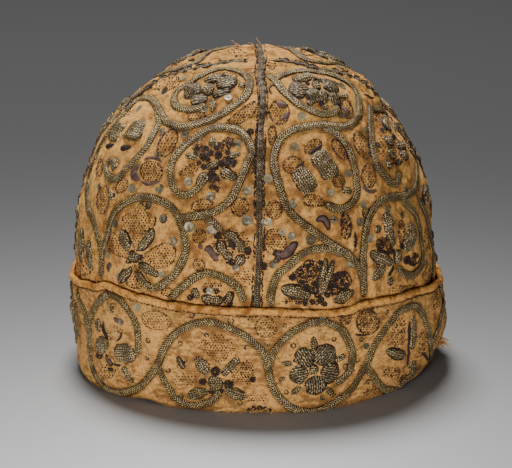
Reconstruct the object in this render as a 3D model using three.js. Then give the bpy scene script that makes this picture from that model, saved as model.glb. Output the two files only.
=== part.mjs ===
// A man's embroidered linen cap: a domed crown of four gores, with braided seams and a turned-up cuff.
// Millimetres, +Z up. The cap stands on its lower edge, the front seam faces -Y, and the wearer's
// left-hand side in a front view is +X. Bearings are degrees round the cap from the front towards +X.
import * as THREE from "three";
import { mergeVertices } from "three/addons/utils/BufferGeometryUtils.js";

// Driving sizes
const CROWN_RADIUS = 95;
const CROWN_HEIGHT = 170;
const CROWN_LINEN = 1.6;
const CUFF_HEIGHT = 58;
const CUFF_LINEN = 1.4;
const CUFF_STAND_OFF = 2.2;
const HEM_DEPTH = 4;
const HEM_THICKNESS = 2.2;
const INTURN_HEIGHT = 9;
const BRAID_WIDTH = 4.6;
const BRAID_THICKNESS = 1.5;
// How far the braids run down behind the cuff's upper edge, and how far a side braid stops short of the
// one that it meets, because it comes in at a slant
const BRAID_TUCK = 7;
const BRAID_MITRE = 1.1;
const CLEARANCE = 0.3;
const APEX_GAP_RADIUS = 1.5;

// How far the gores swell between their seams, and how soft the crease at a seam is
const GORE_FULLNESS = 0.02;
const CREASE_SOFTNESS = 0.1;
// How fast the waves of the lower edge die out up the crown
const WAVE_FADE = 3;
// How much of a braid's thickness is gone at its edges
const BRAID_ROUNDING = 0.7;

// Facets
const GORE_STEPS = 14;
const CLIMB_STEPS = 22;
const CUFF_STEPS = 4 * GORE_STEPS;
const BRAID_STEPS_ACROSS = 4;

// The crown from its rim to its apex. rise is a share of the crown's height. girth, right and front are
// shares of its radius: the section's half width, and how far its middle leans. turn is how far the
// front and back seams swing to +X there, and forward how far the side seams swing to the front, in degrees.
const CROWN_SECTIONS = [
  { climb: 0.0, rise: 0.0, girth: 0.95, right: -0.02, front: 0.0, turn: 0.4, forward: 0 },
  { climb: 0.14, rise: 0.19, girth: 0.975, right: -0.018, front: 0.0, turn: 0.8, forward: 0 },
  { climb: 0.28, rise: 0.385, girth: 0.98, right: -0.014, front: 0.0, turn: 1.2, forward: 0 },
  { climb: 0.42, rise: 0.56, girth: 0.947, right: -0.012, front: 0.0, turn: 1.8, forward: 0 },
  { climb: 0.56, rise: 0.725, girth: 0.84, right: -0.02, front: 0.0, turn: 2.6, forward: 0 },
  { climb: 0.68, rise: 0.84, girth: 0.68, right: -0.01, front: 0.03, turn: 3.0, forward: -1 },
  { climb: 0.79, rise: 0.932, girth: 0.5, right: 0.012, front: 0.06, turn: 3.0, forward: 5 },
  { climb: 0.9, rise: 0.985, girth: 0.285, right: 0.0, front: 0.1, turn: 4.0, forward: 23 },
  { climb: 1.0, rise: 0.978, girth: 0.0, right: 0.035, front: 0.085, turn: 4.0, forward: 14 },
];

// Hollows and swells of the old cloth. rise is a share of the crown's height and depth one of its
// radius, inwards. wide is in degrees, and tall is a share of the height.
const CROWN_DENTS = [
  { bearing: -84, rise: 0.6, wide: 16, tall: 0.05, depth: 0.008 },
  { bearing: 86, rise: 0.78, wide: 14, tall: 0.05, depth: 0.01 },
  { bearing: 100, rise: 0.88, wide: 24, tall: 0.05, depth: -0.03 },
  { bearing: -40, rise: 0.9, wide: 22, tall: 0.05, depth: 0.012 },
  { bearing: 38, rise: 0.88, wide: 20, tall: 0.05, depth: -0.008 },
  { bearing: 140, rise: 0.72, wide: 20, tall: 0.08, depth: 0.016 },
  { bearing: -132, rise: 0.55, wide: 24, tall: 0.1, depth: 0.014 },
  { bearing: 90, rise: 0.28, wide: 30, tall: 0.12, depth: -0.035 },
  { bearing: 92, rise: 0.6, wide: 26, tall: 0.2, depth: -0.018 },
  { bearing: -90, rise: 0.42, wide: 26, tall: 0.2, depth: -0.015 },
];

// The cuff's upper edge, as a share of the cuff's height
const CUFF_TOP = [
  { bearing: -180, share: 0.9 },
  { bearing: -120, share: 0.84 },
  { bearing: -90, share: 0.82 },
  { bearing: -76, share: 0.9 },
  { bearing: -60, share: 0.98 },
  { bearing: -52, share: 1.05 },
  { bearing: -40, share: 1.03 },
  { bearing: -25, share: 1.01 },
  { bearing: 0, share: 1.0 },
  { bearing: 29, share: 0.935 },
  { bearing: 35, share: 0.97 },
  { bearing: 55, share: 0.935 },
  { bearing: 74, share: 0.87 },
  { bearing: 90, share: 0.78 },
  { bearing: 125, share: 0.83 },
  { bearing: 180, share: 0.9 },
];

// How far the lower edge lifts off what the cap stands on, as a share of the cuff's height
const LOWER_EDGE = [
  { bearing: -180, share: 0.0 },
  { bearing: -160, share: 0.0 },
  { bearing: -140, share: 0.03 },
  { bearing: -120, share: 0.0 },
  { bearing: -100, share: 0.0 },
  { bearing: -78, share: 0.03 },
  { bearing: -60, share: 0.0 },
  { bearing: -47, share: 0.0 },
  { bearing: -37, share: 0.035 },
  { bearing: -27, share: 0.0 },
  { bearing: 40, share: 0.0 },
  { bearing: 62, share: 0.02 },
  { bearing: 84, share: 0.06 },
  { bearing: 108, share: 0.0 },
  { bearing: 130, share: 0.0 },
  { bearing: 146, share: 0.025 },
  { bearing: 162, share: 0.0 },
  { bearing: 180, share: 0.0 },
];

// Where the cuff swells away from the crown. share is of the cuff's height, and out of the crown's radius.
const CUFF_SWELLS = [
  { bearing: 86, share: 0.4, wide: 30, tall: 0.42, out: 0.085 },
  { bearing: -62, share: 0.0, wide: 26, tall: 0.35, out: 0.035 },
  { bearing: 20, share: 0.0, wide: 14, tall: 0.25, out: 0.035 },
];

const MATERIALS = {
  linen: new THREE.MeshStandardMaterial({ color: 0xc2935a, roughness: 0.92, metalness: 0 }),
  cuffLinen: new THREE.MeshStandardMaterial({ color: 0xbf9259, roughness: 0.92, metalness: 0 }),
  seamBraid: new THREE.MeshStandardMaterial({ color: 0x4b4236, roughness: 0.6, metalness: 0.35 }),
};

// Smooth value of one column of a table at a place along another column
function smoothColumn(rows, along, column, place) {
  const last = rows.length - 1;
  let i = 0;
  while (i < last - 1 && place > rows[i + 1][along]) i += 1;
  const [a, b] = [rows[i], rows[i + 1]];
  const before = rows[Math.max(i - 1, 0)];
  const after = rows[Math.min(i + 2, last)];
  const span = b[along] - a[along];
  const t = (place - a[along]) / span;
  const slopeIn = ((b[column] - before[column]) / (b[along] - before[along])) * span;
  const slopeOut = ((after[column] - a[column]) / (after[along] - a[along])) * span;
  return (
    (2 * t ** 3 - 3 * t ** 2 + 1) * a[column] +
    (t ** 3 - 2 * t ** 2 + t) * slopeIn +
    (3 * t ** 2 - 2 * t ** 3) * b[column] +
    (t ** 3 - t ** 2) * slopeOut
  );
}

// Value round the cap from a table of bearings, level between two equal rows
function shareAt(rows, bearing) {
  const around = wrapped(bearing);
  let i = 0;
  while (i < rows.length - 2 && around > rows[i + 1].bearing) i += 1;
  const [a, b] = [rows[i], rows[i + 1]];
  const t = (around - a.bearing) / (b.bearing - a.bearing);
  return a.share + (b.share - a.share) * t * t * (3 - 2 * t);
}

// A bearing brought between -180 and 180 degrees
function wrapped(bearing) {
  return bearing - 360 * Math.round(bearing / 360);
}

const edgeLift = (bearing) => CUFF_HEIGHT * shareAt(LOWER_EDGE, bearing);
const cuffTop = (bearing) => CUFF_HEIGHT * shareAt(CUFF_TOP, bearing);
const rimHeight = (bearing) => edgeLift(bearing) + CUFF_LINEN + CLEARANCE;

function dentDepth(bearing, rise) {
  let depth = 0;
  for (const dent of CROWN_DENTS) {
    const aside = wrapped(bearing - dent.bearing) / dent.wide;
    const above = (rise - dent.rise) / dent.tall;
    depth += CROWN_RADIUS * dent.depth * Math.exp(-aside * aside - above * above);
  }
  return depth;
}

function cuffSwell(bearing, share) {
  let out = 0;
  for (const swell of CUFF_SWELLS) {
    const aside = wrapped(bearing - swell.bearing) / swell.wide;
    const above = (share - swell.share) / swell.tall;
    out += CROWN_RADIUS * swell.out * Math.exp(-aside * aside - above * above);
  }
  return out;
}

// The crown's section at a place on the climb from rim to apex
function sectionAt(climb) {
  const section = {};
  for (const column of ["rise", "girth", "right", "front", "turn", "forward"]) {
    section[column] = smoothColumn(CROWN_SECTIONS, "climb", column, climb);
  }
  return section;
}

// The level direction, in radians from the front, that a bearing has at a place on the climb
function headingAt(bearing, climb) {
  const { turn, forward } = sectionAt(climb);
  const angle = THREE.MathUtils.degToRad(bearing);
  const swing = turn * Math.cos(angle) - forward * Math.sin(angle);
  return angle + THREE.MathUtils.degToRad(swing);
}

// Point of the crown's outer face, moved outwards level by a distance
function crownPoint(bearing, climb, outwards = 0) {
  const { rise, girth, right, front } = sectionAt(climb);
  const angle = THREE.MathUtils.degToRad(bearing);
  const swell = GORE_FULLNESS * Math.hypot(Math.sin(2 * angle), CREASE_SOFTNESS);
  const reach = CROWN_RADIUS * girth * (1 + swell) - dentDepth(bearing, rise) * Math.min(1, girth * 2);
  const heading = headingAt(bearing, climb);
  return new THREE.Vector3(
    CROWN_RADIUS * right + (reach + outwards) * Math.sin(heading),
    -CROWN_RADIUS * front - (reach + outwards) * Math.cos(heading),
    rimHeight(bearing) * (1 - rise) ** WAVE_FADE +
      (CUFF_LINEN + CLEARANCE) * (1 - (1 - rise) ** WAVE_FADE) +
      CROWN_HEIGHT * rise,
  );
}

// Outward normal of the crown
function crownNormal(bearing, climb) {
  const nudge = 0.004;
  const low = Math.max(climb - nudge, 0);
  const high = Math.min(climb + nudge, 1 - nudge);
  const aside = crownPoint(bearing + 0.5, climb).sub(crownPoint(bearing - 0.5, climb));
  const upwards = crownPoint(bearing, high).sub(crownPoint(bearing, low));
  return aside.cross(upwards).normalize();
}

// Place on the climb where a rising measure of the crown reaches a value
function climbWhere(measure, value, lowest, highest) {
  let [low, high] = [lowest, highest];
  for (let i = 0; i < 30; i += 1) {
    const middle = (low + high) / 2;
    if (measure(middle) < value) low = middle;
    else high = middle;
  }
  return (low + high) / 2;
}

const climbAtHeight = (bearing, height) =>
  climbWhere((climb) => crownPoint(bearing, climb).z, height, 0, 0.8);

const climbAtReach = (reach) =>
  climbWhere((climb) => -CROWN_RADIUS * sectionAt(climb).girth, -reach, 0.5, 1);

// Moves each vertex of a geometry and leaves it one closed skin
function bent(geometry, move) {
  geometry.deleteAttribute("normal");
  geometry.deleteAttribute("uv");
  const place = geometry.getAttribute("position");
  const moved = [];
  for (let i = 0; i < place.count; i += 1) {
    moved.push(move(new THREE.Vector3().fromBufferAttribute(place, i), i));
  }
  moved.forEach((point, i) => place.setXYZ(i, point.x, point.y, point.z));
  return mergeVertices(geometry, 1e-4);
}

function piece(name, geometry, material) {
  const mesh = new THREE.Mesh(geometry, material);
  mesh.name = name;
  return mesh;
}

// One gore: a quarter of the crown's wall, from the rim to just short of the apex
function gore(name, middleBearing) {
  const tipClimb = climbAtReach(APEX_GAP_RADIUS);
  const slab = new THREE.BoxGeometry(1, 1, 1, GORE_STEPS, CLIMB_STEPS, 1);
  const wall = bent(slab, ({ x, y, z }) => {
    const climb = tipClimb * (y + 0.5);
    const seamGap = THREE.MathUtils.radToDeg(CLEARANCE / 2 / (CROWN_RADIUS * sectionAt(climb).girth));
    const bearing = middleBearing + x * (90 - 2 * seamGap);
    const outer = crownPoint(bearing, climb);
    if (z > 0) return outer;
    const inner = outer.clone().addScaledVector(crownNormal(bearing, climb), -CROWN_LINEN);
    if (climb === 0) inner.z = outer.z;
    return inner;
  });
  return piece(name, wall, MATERIALS.linen);
}

// The cuff's section. out is level, from the crown's outer face. The height is low above the lower
// edge, and share of the way to the upper edge.
function cuffSection() {
  const wallShares = [0.1, 0.22, 0.36, 0.5, 0.64, 0.78, 0.9];
  const inside = -CROWN_LINEN - CLEARANCE;
  const standOff = (share) => CLEARANCE + (CUFF_STAND_OFF - CLEARANCE) * Math.sin((share * Math.PI) / 2);
  const outerWall = wallShares.map((share) => ({ out: standOff(share) + CUFF_LINEN, low: 0, share }));
  const innerWall = wallShares.map((share) => ({ out: standOff(share), low: 0, share })).reverse();
  const hemOut = CUFF_STAND_OFF + HEM_THICKNESS;
  return [
    { out: inside - CUFF_LINEN, low: INTURN_HEIGHT, share: 0 },
    { out: inside - CUFF_LINEN, low: CUFF_LINEN / 2, share: 0 },
    { out: inside - CUFF_LINEN / 2, low: 0, share: 0 },
    { out: CLEARANCE + CUFF_LINEN / 2, low: 0, share: 0 },
    { out: CLEARANCE + CUFF_LINEN, low: CUFF_LINEN / 2, share: 0 },
    ...outerWall.slice(0, -1),
    { out: CUFF_STAND_OFF + CUFF_LINEN, low: -HEM_DEPTH - CUFF_LINEN / 2, share: 1 },
    { out: hemOut, low: -HEM_DEPTH, share: 1 },
    { out: hemOut, low: -CUFF_LINEN / 2, share: 1 },
    { out: hemOut - CUFF_LINEN / 2, low: 0, share: 1 },
    { out: CUFF_STAND_OFF, low: 0, share: 1 },
    ...innerWall,
    { out: CLEARANCE, low: CUFF_LINEN, share: 0 },
    { out: inside, low: CUFF_LINEN, share: 0 },
    { out: inside, low: INTURN_HEIGHT, share: 0 },
  ];
}

// The cuff: one band that holds the crown's rim in its fold and turns up round the outside
function cuff() {
  const section = cuffSection();
  const outline = [...section, section[0]].map(
    ({ out, low, share }) => new THREE.Vector2(CROWN_RADIUS + out, low + CUFF_HEIGHT * share),
  );
  const ring = new THREE.LatheGeometry(outline, CUFF_STEPS);
  const band = bent(ring, (_, index) => {
    const step = Math.floor(index / outline.length) % CUFF_STEPS;
    const { out, low, share } = section[(index % outline.length) % section.length];
    const bearing = (360 * step) / CUFF_STEPS;
    const lift = edgeLift(bearing);
    const height = lift + low + share * (cuffTop(bearing) - lift);
    const above = height > rimHeight(bearing);
    const climb = above ? climbAtHeight(bearing, height) : 0;
    const away = out > 0 ? out + cuffSwell(bearing, share) : out;
    const point = crownPoint(bearing, climb, away);
    point.z = height;
    return point;
  });
  return piece("cuff", band, MATERIALS.cuffLinen);
}

// A braid laid along a list of seam points, each with its direction across the seam
function braidAlong(name, stations) {
  const strip = new THREE.BoxGeometry(1, 1, 1, BRAID_STEPS_ACROSS, stations.length - 1, 1);
  const last = stations.length - 1;
  const braid = bent(strip, ({ x, y, z }) => {
    const index = Math.round((y + 0.5) * last);
    const { point, across } = stations[index];
    const onwards = stations[Math.min(index + 1, last)].point
      .clone()
      .sub(stations[Math.max(index - 1, 0)].point);
    const outwards = across.clone().cross(onwards).normalize();
    const crest = 1 - BRAID_ROUNDING * (2 * x) ** 2;
    const stand = CLEARANCE + (z > 0 ? BRAID_THICKNESS * crest : 0);
    return point
      .clone()
      .addScaledVector(across, x * BRAID_WIDTH)
      .addScaledVector(outwards, stand);
  });
  return piece(name, braid, MATERIALS.seamBraid);
}

// Points up one seam, from just under the cuff's upper edge
function seamStations(bearing, lastClimb, steps) {
  const firstClimb = climbAtHeight(bearing, cuffTop(bearing) - BRAID_TUCK);
  const stations = [];
  for (let i = 0; i <= steps; i += 1) {
    const climb = firstClimb + ((lastClimb - firstClimb) * i) / steps;
    const heading = headingAt(bearing, climb);
    const across = new THREE.Vector3(Math.cos(heading), Math.sin(heading), 0);
    stations.push({ point: crownPoint(bearing, climb), across });
  }
  return stations;
}

// The front seam's braid runs on over the apex and down the back seam
function frontToBackBraid() {
  const frontSide = seamStations(0, 1, CLIMB_STEPS);
  const backSide = seamStations(180, 1, CLIMB_STEPS).reverse().slice(1);
  for (const station of backSide) station.across.negate();
  return braidAlong("seam_braid_front_to_back", [...frontSide, ...backSide]);
}

// A side seam's braid stops against the one that crosses the apex
function sideBraid(name, bearing) {
  const lastClimb = climbAtReach(BRAID_WIDTH / 2 + BRAID_MITRE + CLEARANCE);
  return braidAlong(name, seamStations(bearing, lastClimb, CLIMB_STEPS));
}

const cap = new THREE.Group();
cap.add(
  gore("gore_front_right", 45),
  gore("gore_back_right", 135),
  gore("gore_back_left", -135),
  gore("gore_front_left", -45),
  cuff(),
  frontToBackBraid(),
  sideBraid("seam_braid_right", 90),
  sideBraid("seam_braid_left", -90),
);

// The cap stands on its lower edge, centred over the origin
const extent = new THREE.Box3().setFromObject(cap, true);
const middle = extent.getCenter(new THREE.Vector3());
cap.position.set(-middle.x, -middle.y, -extent.min.z);

export default cap;
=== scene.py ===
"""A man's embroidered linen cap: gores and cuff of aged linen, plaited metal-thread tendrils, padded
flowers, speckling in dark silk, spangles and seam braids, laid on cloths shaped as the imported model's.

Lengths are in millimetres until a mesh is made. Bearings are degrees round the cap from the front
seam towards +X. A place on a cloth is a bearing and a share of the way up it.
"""

import logging
import math
import random
from collections.abc import Sequence
from dataclasses import dataclass, field
from enum import Enum

import bmesh
import bpy
import numpy as np
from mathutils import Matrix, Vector, noise
from mathutils.kdtree import KDTree


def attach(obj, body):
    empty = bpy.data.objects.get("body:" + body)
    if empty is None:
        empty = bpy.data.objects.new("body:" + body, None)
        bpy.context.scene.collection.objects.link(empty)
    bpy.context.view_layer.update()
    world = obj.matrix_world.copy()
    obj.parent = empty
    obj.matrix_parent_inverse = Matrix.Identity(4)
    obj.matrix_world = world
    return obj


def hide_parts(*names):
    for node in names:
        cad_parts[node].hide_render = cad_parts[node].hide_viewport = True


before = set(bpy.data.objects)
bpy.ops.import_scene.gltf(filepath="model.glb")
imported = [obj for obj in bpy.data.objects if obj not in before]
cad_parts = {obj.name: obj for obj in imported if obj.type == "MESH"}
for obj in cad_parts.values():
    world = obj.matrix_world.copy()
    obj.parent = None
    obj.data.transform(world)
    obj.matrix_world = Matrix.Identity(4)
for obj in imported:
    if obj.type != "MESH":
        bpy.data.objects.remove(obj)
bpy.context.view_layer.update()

logging.basicConfig(level=logging.INFO, format="%(message)s")
log = logging.getLogger("cap")

Pixel = tuple[float, float]
Route = Sequence[Pixel]

METRES = 0.001
FULL_TURN = 360.0

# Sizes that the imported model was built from
CROWN_RADIUS = 95.0
CROWN_HEIGHT = 170.0
CROWN_LINEN = 1.6
CUFF_HEIGHT = 58.0
CUFF_LINEN = 1.4
CUFF_STAND_OFF = 2.2
INTURN_HEIGHT = 9.0
CLEARANCE = 0.3
GORE_FULLNESS = 0.02
CREASE_SOFTNESS = 0.1
WAVE_FADE = 3

# climb, rise, girth, right, front, turn, forward
CROWN_SECTIONS = np.array((
    (0.0, 0.0, 0.95, -0.02, 0.0, 0.4, 0), (0.14, 0.19, 0.975, -0.018, 0.0, 0.8, 0),
    (0.28, 0.385, 0.98, -0.014, 0.0, 1.2, 0), (0.42, 0.56, 0.947, -0.012, 0.0, 1.8, 0),
    (0.56, 0.725, 0.84, -0.02, 0.0, 2.6, 0), (0.68, 0.84, 0.68, -0.01, 0.03, 3.0, -1),
    (0.79, 0.932, 0.5, 0.012, 0.06, 3.0, 5), (0.9, 0.985, 0.285, 0.0, 0.1, 4.0, 23),
    (1.0, 0.978, 0.0, 0.035, 0.085, 4.0, 14),
))
# bearing, rise, wide, tall, depth
CROWN_DENTS = (
    (-84, 0.6, 16, 0.05, 0.008), (86, 0.78, 14, 0.05, 0.01), (100, 0.88, 24, 0.05, -0.03),
    (-40, 0.9, 22, 0.05, 0.012), (38, 0.88, 20, 0.05, -0.008), (140, 0.72, 20, 0.08, 0.016),
    (-132, 0.55, 24, 0.1, 0.014), (90, 0.28, 30, 0.12, -0.035), (92, 0.6, 26, 0.2, -0.018),
    (-90, 0.42, 26, 0.2, -0.015),
)
# bearing, share of the cuff's height
CUFF_TOP = np.array((
    (-180, 0.9), (-120, 0.84), (-90, 0.82), (-76, 0.9), (-60, 0.98), (-52, 1.05), (-40, 1.03),
    (-25, 1.01), (0, 1.0), (29, 0.935), (35, 0.97), (55, 0.935), (74, 0.87), (90, 0.78), (125, 0.83),
    (180, 0.9),
))
LOWER_EDGE = np.array((
    (-180, 0.0), (-160, 0.0), (-140, 0.03), (-120, 0.0), (-100, 0.0), (-78, 0.03), (-60, 0.0),
    (-47, 0.0), (-37, 0.035), (-27, 0.0), (40, 0.0), (62, 0.02), (84, 0.06), (108, 0.0), (130, 0.0),
    (146, 0.025), (162, 0.0), (180, 0.0),
))
# bearing, share, wide, tall, out
CUFF_SWELLS = (
    (86, 0.4, 30, 0.42, 0.085), (-62, 0.0, 26, 0.35, 0.035), (20, 0.0, 14, 0.25, 0.035),
)

# The photograph's frame, in pixels, and how it was taken, in millimetres
IMAGE_WIDE = 512
IMAGE_TALL = 468
PIXELS_PER_MM = 1.86
CAMERA_AWAY = 3000.0
CAMERA_LIFT = math.radians(17.0)
SENSOR = 36.0
# The solids were centred over the origin after they were shaped
CENTRING = np.array([-0.676, 0.029, 0.0])
AIM = np.array([0.0, 0.0, 70.0])
# Directions out of the photograph and up it
TOWARDS = np.array([0.0, -math.cos(CAMERA_LIFT), math.sin(CAMERA_LIFT)])
UPWARDS = np.array([0.0, math.sin(CAMERA_LIFT), math.cos(CAMERA_LIFT)])


def wrapped(bearing: np.ndarray) -> np.ndarray:
    """Bearings brought between -180 and 180 degrees."""
    return bearing - FULL_TURN * np.round(bearing / FULL_TURN)


def unit(vectors: np.ndarray) -> np.ndarray:
    """Vectors brought to length 1."""
    return vectors / np.maximum(np.linalg.norm(vectors, axis=-1, keepdims=True), 1e-9)


def distance_along(points: np.ndarray) -> np.ndarray:
    """Distance of each point from the first, from point to point."""
    return np.concatenate([[0.0], np.cumsum(np.linalg.norm(np.diff(points, axis=0), axis=1))])


def tree_of(points: np.ndarray) -> KDTree:
    """Search tree of points.

    Args:
        points: The points.

    Returns:
        The tree, balanced.
    """
    tree = KDTree(len(points))
    for i, point in enumerate(points):
        tree.insert(point, i)
    tree.balance()
    return tree


def smooth_through(rows: np.ndarray, column: int, place: np.ndarray) -> np.ndarray:
    """Smooth curve through one column of a table.

    Args:
        rows: A table whose first column rises.
        column: The column to read.
        place: Where to read it, along the first column.

    Returns:
        The column's value at each place.
    """
    along, value = rows[:, 0], rows[:, column]
    last = len(rows) - 1
    i = np.searchsorted(along[1:last], place)
    before, after = np.maximum(i - 1, 0), np.minimum(i + 2, last)
    span = along[i + 1] - along[i]
    t = (place - along[i]) / span
    slope_in = (value[i + 1] - value[before]) / (along[i + 1] - along[before]) * span
    slope_out = (value[after] - value[i]) / (along[after] - along[i]) * span
    return (
        (2 * t**3 - 3 * t**2 + 1) * value[i]
        + (t**3 - 2 * t**2 + t) * slope_in
        + (3 * t**2 - 2 * t**3) * value[i + 1]
        + (t**3 - t**2) * slope_out
    )


def share_at(rows: np.ndarray, bearing: np.ndarray) -> np.ndarray:
    """Value round the cap from a table of bearings.

    Args:
        rows: Bearings and shares.
        bearing: Where to read them.

    Returns:
        The share at each bearing, level between two equal rows.
    """
    around = wrapped(bearing)
    i = np.searchsorted(rows[1:-1, 0], around)
    t = (around - rows[i, 0]) / (rows[i + 1, 0] - rows[i, 0])
    return rows[i, 1] + (rows[i + 1, 1] - rows[i, 1]) * t * t * (3 - 2 * t)


@dataclass(frozen=True)
class CapForm:
    """The cap's own shape, worked out as its solids were."""

    bisections: int = 22
    fold_share: float = 0.03

    def edge_lift(self, bearing: np.ndarray) -> np.ndarray:
        """How far the cuff's lower edge is off the table."""
        return CUFF_HEIGHT * share_at(LOWER_EDGE, bearing)

    def cuff_top(self, bearing: np.ndarray) -> np.ndarray:
        """Height of the cuff's upper edge."""
        return CUFF_HEIGHT * share_at(CUFF_TOP, bearing)

    def crown(
        self, bearing: np.ndarray, climb: np.ndarray, outwards: float | np.ndarray = 0.0
    ) -> np.ndarray:
        """Points of the crown's outer face.

        Args:
            bearing: Degrees round the cap.
            climb: Share of the way from rim to apex.
            outwards: Level distance from the face.

        Returns:
            One point for each place.
        """
        rise, girth, right, front, turn, forward = (
            smooth_through(CROWN_SECTIONS, column, climb) for column in range(1, 7)
        )
        angle = np.radians(bearing)
        swell = GORE_FULLNESS * np.hypot(np.sin(2 * angle), CREASE_SOFTNESS)
        dent = np.zeros_like(rise * bearing)
        for middle, level, wide, tall, depth in CROWN_DENTS:
            aside = wrapped(bearing - middle) / wide
            dent += CROWN_RADIUS * depth * np.exp(-(aside**2) - ((rise - level) / tall) ** 2)
        reach = CROWN_RADIUS * girth * (1 + swell) - dent * np.minimum(1, girth * 2)
        heading = np.radians(bearing + turn * np.cos(angle) - forward * np.sin(angle))
        fade = np.clip(1 - rise, 0, 1) ** WAVE_FADE
        rim = self.edge_lift(bearing) + CUFF_LINEN + CLEARANCE
        return np.stack(
            [
                CROWN_RADIUS * right + (reach + outwards) * np.sin(heading),
                -CROWN_RADIUS * front - (reach + outwards) * np.cos(heading),
                rim * fade + (CUFF_LINEN + CLEARANCE) * (1 - fade) + CROWN_HEIGHT * rise,
            ],
            -1,
        )

    def climb_at(self, bearing: np.ndarray, height: np.ndarray) -> np.ndarray:
        """Where on the climb the crown reaches a height.

        Args:
            bearing: Degrees round the cap.
            height: Heights over the table.

        Returns:
            Shares of the climb, 0 below the rim.
        """
        low = np.zeros_like(height)
        high = np.full_like(height, 0.8)
        for _ in range(self.bisections):
            middle = (low + high) / 2
            under = self.crown(bearing, middle)[..., 2] < height
            low = np.where(under, middle, low)
            high = np.where(under, high, middle)
        return (low + high) / 2

    def cuff(self, bearing: np.ndarray, share: np.ndarray) -> np.ndarray:
        """Points of the cuff's outer face.

        Args:
            bearing: Degrees round the cap.
            share: Share of the way from its lower to its upper edge.

        Returns:
            One point for each place.
        """
        lift = self.edge_lift(bearing)
        height = lift + share * (self.cuff_top(bearing) - lift)
        climb = self.climb_at(bearing, height)
        stand = CLEARANCE + (CUFF_STAND_OFF - CLEARANCE) * np.sin(share * np.pi / 2)
        for middle, level, wide, tall, out in CUFF_SWELLS:
            aside = wrapped(bearing - middle) / wide
            stand = stand + CROWN_RADIUS * out * np.exp(
                -(aside**2) - ((share - level) / tall) ** 2
            )
        bend = np.clip(1 - share / self.fold_share, 0, 1)
        fold = CUFF_LINEN / 2 * (1 - np.sqrt(1 - bend**2))
        point = self.crown(bearing, climb, stand + CUFF_LINEN - fold)
        point[..., 2] = height
        return point

    def rim(self, bearing: np.ndarray, out: float, height: float) -> np.ndarray:
        """Points inside the cuff's fold.

        Args:
            bearing: Degrees round the cap.
            out: Distance out from the crown's rim.
            height: Height over the fold.

        Returns:
            One point for each bearing.
        """
        point = self.crown(bearing, np.zeros_like(bearing), out)
        point[..., 2] = self.edge_lift(bearing) + height
        return point


@dataclass
class Cloth:
    """A cloth of the cap, kept as tables of its points, outward directions and puckers."""

    name: str
    points: np.ndarray
    normals: np.ndarray = field(init=False)
    relief: np.ndarray = field(init=False)
    dirt_and_shade: np.ndarray = field(init=False)

    def __post_init__(self) -> None:
        """Works out the outward directions."""
        east = np.roll(self.points[:-1], -1, 0) - np.roll(self.points[:-1], 1, 0)
        east = np.concatenate([east, east[:1]])
        north = np.gradient(self.points, axis=1)
        out = unit(np.cross(east, north))
        if self.name == "crown":
            out[:, -1] = unit(out[:, -2].mean(0))
        self.normals = out
        self.relief = np.zeros(self.points.shape[:2])
        self.dirt_and_shade = np.zeros(self.points.shape[:2])

    @property
    def steps(self) -> tuple[int, int]:
        """Steps of the tables round the cap and up it."""
        return self.points.shape[0] - 1, self.points.shape[1] - 1

    def read(self, table: np.ndarray, bearing: np.ndarray, up: np.ndarray) -> np.ndarray:
        """Value of a table between its nodes.

        Args:
            table: One of the cloth's tables.
            bearing: Degrees round the cap.
            up: Shares of the way up.

        Returns:
            The value at each place.
        """
        around, tall = self.steps
        across = (np.asarray(bearing, float) % FULL_TURN) / FULL_TURN * around
        above = np.clip(up, 0, 1) * tall
        i = np.minimum(across.astype(int), around - 1)
        j = np.minimum(above.astype(int), tall - 1)
        s, t = across - i, above - j
        if table.ndim == 3:
            s, t = s[..., None], t[..., None]
        return (table[i, j] * (1 - s) + table[i + 1, j] * s) * (1 - t) + (
            table[i, j + 1] * (1 - s) + table[i + 1, j + 1] * s
        ) * t

    def lay(
        self, bearing: np.ndarray, up: np.ndarray, out: float | np.ndarray = 0.0
    ) -> tuple[np.ndarray, np.ndarray]:
        """Points on the puckered cloth.

        Args:
            bearing: Degrees round the cap.
            up: Shares of the way up.
            out: Distance off the cloth.

        Returns:
            The points and the cloth's outward directions there.
        """
        normal = unit(self.read(self.normals, bearing, up))
        away = self.read(self.relief, bearing, up) + out
        return self.read(self.points, bearing, up) + normal * away[..., None], normal


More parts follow.
